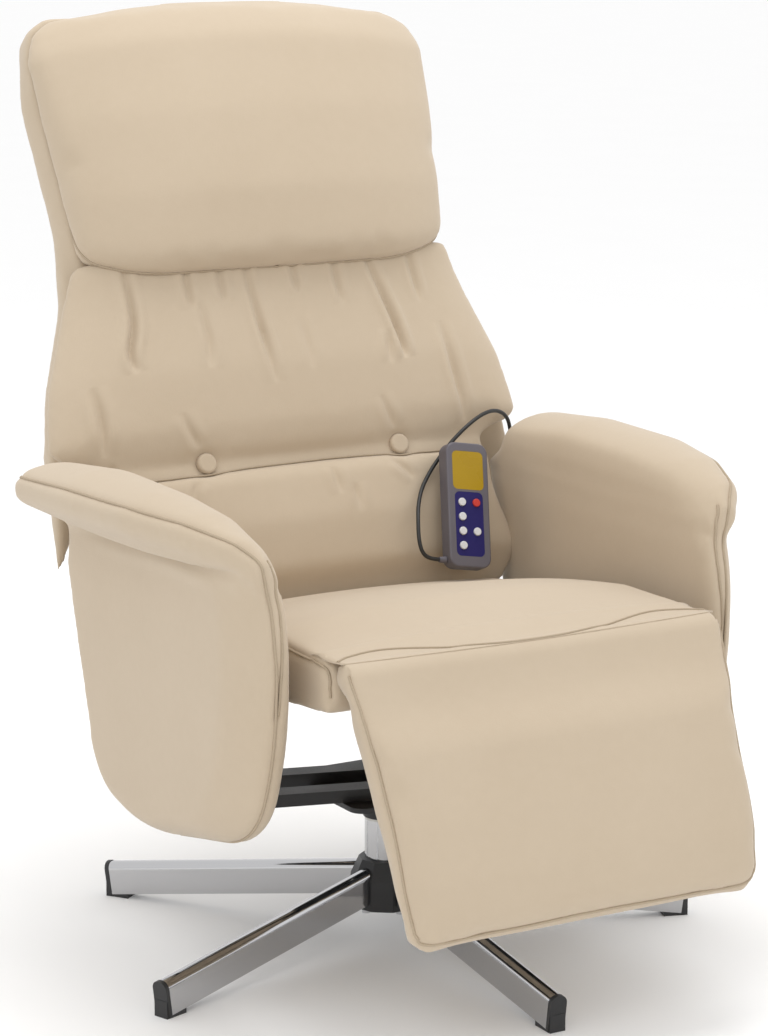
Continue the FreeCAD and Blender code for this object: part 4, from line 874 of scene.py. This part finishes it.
# %% A finer mesh for the gathers
def refine(piece, wanted):
    """Halve the mesh's size where a test on the place of a face is true."""
    shape = bmesh.new()
    shape.from_mesh(piece.data)
    edges = {edge for face in shape.faces if wanted(face.calc_center_median()) for edge in face.edges}
    bmesh.ops.subdivide_edges(shape, edges=list(edges), cuts=1, use_grid_fill=True)
    shape.to_mesh(piece.data)
    shape.free()


GATHERED = (-70.0, 240.0)
GATHER_DEEPEST = 16.0


def is_gathered(place):
    _, along, out = on_back.read(place)
    return GATHERED[0] < along < GATHERED[1] and out < GATHER_DEEPEST


print("gathers lie from", GATHERED[0], "to", GATHERED[1], "mm along the back")

# %% Front of the back
front = joined_copy("back_front_cover", ["lumbar_cushion", "mid_back_cushion", "back_motors"])
even_skin(front, FRONT_VOXEL)
shape_front(front)
lower_wings(front)
ease(front, 18)
refine(front, is_gathered)
print("front faces", len(front.data.polygons))

# %% Gathers
GATHERS = [  # depth, width, and the places it runs through, across and along
    (7.5, 3.8, ((-201, 262), (-201, 182), (-212, 140), (-209, 116))),
    (3.6, 4.2, ((-112, 196), (-110, 152), (-114, 112))),
    (6.0, 3.8, ((-46, 262), (-40, 170), (-37, 142), (-31, 86))),
    (2.0, 4.4, ((16, 166), (20, 130), (20, 100))),
    (7.5, 3.8, ((120, 262), (147, 169), (155, 128), (158, 104))),
    (2.8, 4.0, ((137, 142), (135, 120), (134, 98))),
    (5.0, 4.6, ((222, 150), (230, 77), (238, 10))),
    (5.0, 4.6, ((-268, 104), (-263, 60), (-265, 10))),
    (4.0, 3.6, ((-123, 256), (-124, 208), (-124, 186))),
    (3.6, 3.6, ((-80, 256), (-80, 210), (-80, 192))),
    (3.6, 3.6, ((78, 256), (79, 205), (80, 178))),
    (4.0, 3.8, ((188, 256), (196, 205), (198, 176))),
    (3.4, 3.6, ((22, 256), (20, 214), (22, 196))),
    (2.6, 4.0, ((27, -16), (29, -36), (31, -56))),
    (2.2, 4.0, ((51, -44), (52, -60), (52, -80))),
    (3.2, 4.0, ((114, -10), (126, -28), (138, -46))),
    (2.8, 4.0, ((-150, -12), (-160, -32), (-164, -54))),
    (2.8, 4.0, ((-140, 10), (-152, 34), (-160, 62))),
    (2.6, 4.0, ((130, 10), (120, 34), (112, 60)))]
GATHER_OUT = -26.0
for depth, width, places in GATHERS:
    fold(front, [on_back.at(across, along, GATHER_OUT) for across, along in places], depth * MM, width * MM)
print("gathers", len(GATHERS))

# %% Buttons and tuft seam
BUTTON_ACROSS = 133.0
BUTTON_REACH = 0.026
BUTTON_DENT = 0.005
TUFT_OUT = -10.0
for side in (-1, 1):
    dent = settle(front, [on_back.at(side * BUTTON_ACROSS + step, 0, TUFT_OUT) for step in (-1, 1)], 0.0)
    press_beside(front, dent, BUTTON_REACH, BUTTON_DENT)
ease(front, 1, 0.3)
TUFT_SEAM = ((-256, 1), (-219, -8), (-150, -10), (0, -8), (110, -8), (180, -10), (256, -6))
TUFT_DEPTH = 0.004
tuft_way = [on_back.at(across, along, TUFT_OUT) for across, along in TUFT_SEAM]
seam("tuft_seam", front, "backrest", tuft_way, TUFT_DEPTH, THIN_PIPING, 1.0)
finish_pad(front, "backrest", ["lumbar_cushion", "mid_back_cushion"])

# %% [markdown]
# ## Rear cover
# A thinner padded cover closes the back from behind, with a corner on each side that hangs behind the arm.
# Its edge wraps the frame board, so the board's outline is filled out to the pads in front of it. A bridge
# between two open edges could close it, but a filled outline melts into the shell in the same remesh.

# %% Rear cover
EDGE_OUTLINE = [(238, -150), (238, -6), (262, 10), (308, 44), (293, 110), (257, 205), (245, 240), (251, 321),
                (262, 430), (266, 512), (256, 548), (230, 564)]
EDGE_FRONT = 17.0
EDGE_DEPTH = 22.0


def add_edge(shape):
    corners = EDGE_OUTLINE + [(-across, along) for across, along in reversed(EDGE_OUTLINE)]
    face = shape.faces.new([shape.verts.new(on_back.at(*corner, EDGE_FRONT)) for corner in corners])
    swept = bmesh.ops.extrude_face_region(shape, geom=[face], use_keep_orig=True)
    far = [item for item in swept["geom"] if isinstance(item, bmesh.types.BMVert)]
    bmesh.ops.translate(shape, vec=on_back.out * EDGE_DEPTH * MM, verts=far)


rear = joined_copy("back_rear_cover", ["back_shell"], add=add_edge)
even_skin(rear, REAR_VOXEL)
lower_wings(rear)
ease(rear, 6)
finish_pad(rear, "backrest", ["back_shell", "back_frame"])

# %% [markdown]
# ## Headrest pillow
# The pillow is the softest piece. Its corners are drawn in by wide curves, its foot hangs over the gathers,
# and a piped seam runs round its lower edge and joins it to the rear cover. A lattice could bend the block;
# sums over across and along do it with sizes that can be read and changed.

# %% Shape of the pillow
PILLOW_FOOT = 231.0
PILLOW_TOP = 572.0
PILLOW_REAR = 20.0
PILLOW_FRONT_RUN = 40.0
CORNER_FADE = 90.0
LOW_CORNER_RISE = 26.0
TOP_CORNER_DROP = 15.0
TOP_CROWN = 11.0
CROWN_HALF_WIDTH = 260.0
LOW_EDGE_DROOP = 13.0
DROOP_RUN = 70.0
SIDE_BACK = 9.0
TOP_BACK = 10.0
REAR_WIDER = 10.0
WIDER_FADE = 200.0
LOW_CORNER = (150.0, 100.0)  # start from the middle, run
TOP_CORNER = (60.0, 190.0)
SIDE_ROUND = (185.0, 80.0)
TOP_ROUND = (500.0, 70.0)  # start along the back, run


def round_pillow(piece):
    """Draw the corners in, round the face back at its rim and widen the rim where it meets the rear cover."""
    for vertex in piece.data.vertices:
        across, along, out = on_back.read(vertex.co)
        near_foot = max(0.0, 1.0 - (along - PILLOW_FOOT) / CORNER_FADE)
        near_top = max(0.0, 1.0 - (PILLOW_TOP - along) / CORNER_FADE)
        low = past(abs(across), *LOW_CORNER) * near_foot
        high = past(abs(across), *TOP_CORNER) * near_top
        front_share = share_of(PILLOW_REAR - out, PILLOW_FRONT_RUN)
        back_off = SIDE_BACK * past(abs(across), *SIDE_ROUND) + TOP_BACK * past(along, *TOP_ROUND)
        droop = LOW_EDGE_DROOP * max(0.0, 1.0 - (along - PILLOW_FOOT) / DROOP_RUN) * front_share
        from_middle = min(1.0, abs(across) / WIDER_FADE)
        wider = REAR_WIDER * (1.0 - front_share) * sign_of(across) * from_middle
        crown = TOP_CROWN * max(0.0, 1.0 - (across / CROWN_HALF_WIDTH) ** 2) * near_top
        rise = LOW_CORNER_RISE * low - TOP_CORNER_DROP * high - droop + crown
        vertex.co += MM * (on_back.along * rise + on_back.out * back_off * front_share)
        vertex.co.x += MM * wider


print("pillow", PILLOW_TOP - PILLOW_FOOT, "mm high")

# %% Headrest pillow
pillow = joined_copy("headrest_cover", ["headrest_pillow", "head_motors"])
even_skin(pillow, SOFT_VOXEL)
round_pillow(pillow)
ease(pillow, 10)
swell(pillow, SWELL_CAP)
ease(pillow, 8)
PILLOW_SEAM = [on_back.at(across, along, out) for across, along, out in (
    (0, 217, -20), (-120, 219, -20), (-200, 228, -16), (-240, 252, -4), (-251, 321, 12), (-263, 421, 15),
    (-268, 500, 15), (-256, 540, 16), (-215, 560, 18), (-120, 568, 18), (0, 572, 18))]
seam("headrest_seam_right", pillow, "backrest", PILLOW_SEAM)
seam("headrest_seam_left", pillow, "backrest", mirrored(PILLOW_SEAM))
finish_pad(pillow, "backrest", ["headrest_pillow"])

# %% [markdown]
# ## Arms
# Each arm is one cover over a board: a side panel that hangs low and thins towards its front edge, and a
# thick pad on top that flares outwards and runs down into that edge. Two piped seams start on the pad, one on
# its outer lip and one inside, and meet on the front edge. The two arms could be made apart, but one loop
# with a side of -1 or 1 keeps them mirror images.

# %% Seams of the arms
LIP_SEAM = [(374, 188, 561), (383, 172, 566), (382, 60, 573), (372, -78, 575), (350, -170, 571),
            (324, -236, 560), (303, -263, 540), (297, -272, 500), (294, -275, 450), (292, -276, 410),
            (292, -270, 347), (292, -254, 288), (292, -223, 236), (292, -163, 205), (292, -44, 193)]
INNER_SEAM = [(283, -257, 545), (277, -267, 522), (279, -273, 482), (283, -275, 445),
              (287, -276, 405), (290, -273, 372)]
LIP_FOLD = [(330, 138, 505), (330, 36, 512), (328, -86, 523), (322, -160, 524), (302, -244, 531)]
INNER_LIFT = Matrix.Translation((0, 0.006, 0.026))
INNER_SCALE = (0.9, 0.94, 1)
LIP_FOLD_DEPTH = 0.010
LIP_FOLD_WIDTH = 0.005
LIP_FOLD_RIDGE = 0.2
print("arm seam points", len(LIP_SEAM), len(INNER_SEAM))

# %% Fuller arm panels
REAR_EDGE_FOOT = (51.0, 197.0)
REAR_EDGE_LEAN = 0.485
REAR_EDGE_TOP = 190.0
REAR_RUN = 90.0
SLEEVE_INNER = 296.0
SLEEVE_OUTER = 310.0
SLEEVE_FADE = 8.0
INNER_REACH = 42.0
OUTER_REACH = 13.0
CORNER_CUT = 12.0
HEM_DROP = 17.0
HEM_MIDDLE = 10.0
HEM_REACH = 85.0
HEM_TOP = 290.0
HEM_FADE = 80.0
LIP_FOOT = 530.0
LIP_FADE = 20.0
OUTER_TOP = 490.0
OUTER_FADE = 30.0
CORNER_LOW = 455.0
CORNER_RUN = 50.0


def reach_back(piece):
    """Run the inner and outer faces further back, and let the panel's lower rear corner hang full."""
    for vertex in piece.data.vertices:
        x, y, z = (abs(vertex.co.x) / MM, vertex.co.y / MM, vertex.co.z / MM)
        edge = min(REAR_EDGE_TOP, REAR_EDGE_FOOT[0] + REAR_EDGE_LEAN * (z - REAR_EDGE_FOOT[1]))
        near = share_of(y - edge + REAR_RUN, REAR_RUN) ** 2
        outside = share_of(x - SLEEVE_OUTER, SLEEVE_FADE)
        below_lip = share_of(LIP_FOOT - z, LIP_FADE)
        inner = INNER_REACH * share_of(SLEEVE_INNER - x, SLEEVE_FADE) * below_lip
        outer = OUTER_REACH * outside * share_of(OUTER_TOP - z, OUTER_FADE)
        corner = CORNER_CUT * outside * share_of(z - CORNER_LOW, CORNER_RUN) * below_lip
        hem = math.exp(-((y - HEM_MIDDLE) / HEM_REACH) ** 2) * share_of(HEM_TOP - z, HEM_FADE)
        vertex.co.y += MM * near * (inner + outer - corner)
        vertex.co.z -= MM * HEM_DROP * hem


print("arm faces run back by up to", INNER_REACH, "mm inside and", OUTER_REACH, "mm outside")


# %% Arms
def arm_way(side, places):
    return [Vector((side * x, y, z)) * MM for x, y, z in places]


for side, hand in ((-1, "right"), (1, "left")):
    nodes = [name + "_" + hand for name in ("arm_rest", "arm_inner_pad", "arm_outer_pad", "arm_board")]
    inner = "arm_inner_pad_" + hand
    arm = joined_copy("arm_cover_" + hand, nodes, [(inner, INNER_LIFT @ about(inner, INNER_SCALE))])
    even_skin(arm, FIRM_VOXEL)
    reach_back(arm)
    ease(arm, 9)
    fold(arm, arm_way(side, LIP_FOLD), LIP_FOLD_DEPTH, LIP_FOLD_WIDTH, LIP_FOLD_RIDGE)
    for name, way in (("arm_lip_seam_", LIP_SEAM), ("arm_inner_seam_", INNER_SEAM)):
        seam(name + hand, arm, "carriage", arm_way(side, way))
    finish_pad(arm, "carriage", nodes)

# %% [markdown]
# ## Floor and light
# A product picture is taken on a white sweep. It could be a curved backdrop; a large pale floor under a white
# world looks the same from every side, and three soft lamps give the chair its gentle shadows.

# %% Floor
FLOOR_SIZE = 40.0


def floor_look(build):
    speck = build.noise(3.0, 2.0)
    return {"Base Color": build.mix(speck, colour(0.97, 0.97, 0.97), colour(0.985, 0.985, 0.985))}


floor_material = new_material("pale_floor", {"Roughness": 0.9, "Specular IOR Level": 0.1}, floor_look)
floor_shape = bmesh.new()
bmesh.ops.create_grid(floor_shape, x_segments=1, y_segments=1, size=FLOOR_SIZE)
floor_mesh = bpy.data.meshes.new("floor")
floor_shape.to_mesh(floor_mesh)
floor_shape.free()
floor = new_piece("floor", floor_mesh)
wear(floor, floor_material)
print("floor corner", tuple(floor_mesh.vertices[0].co))


# %% Lamps and world
def lamp(name, place, size, power):
    data = bpy.data.lights.new(name, "AREA")
    data.shape = "DISK"
    data.size = size
    data.energy = power
    lamp_object = bpy.data.objects.new(name, data)
    lamp_object.location = place
    lamp_object.rotation_euler = (CAMERA_AIM - Vector(place)).to_track_quat("-Z", "Y").to_euler()
    bpy.context.scene.collection.objects.link(lamp_object)


lamp("key_lamp", (-2.4, -2.2, 3.0), 1.6, 12.0)
lamp("fill_lamp", (3.0, -2.6, 2.0), 2.6, 3.0)
lamp("top_lamp", (0.3, 0.2, 3.4), 1.8, 34.0)

WORLD_STRENGTH = 1.0
world = bpy.data.worlds.new("studio")
bpy.context.scene.world = world
world.use_nodes = True
background = world.node_tree.nodes["Background"]
background.inputs["Color"].default_value = colour(1.0, 1.0, 1.0)
background.inputs["Strength"].default_value = WORLD_STRENGTH
bpy.context.scene.view_settings.view_transform = "Standard"
print("lamps", len(bpy.data.lights))
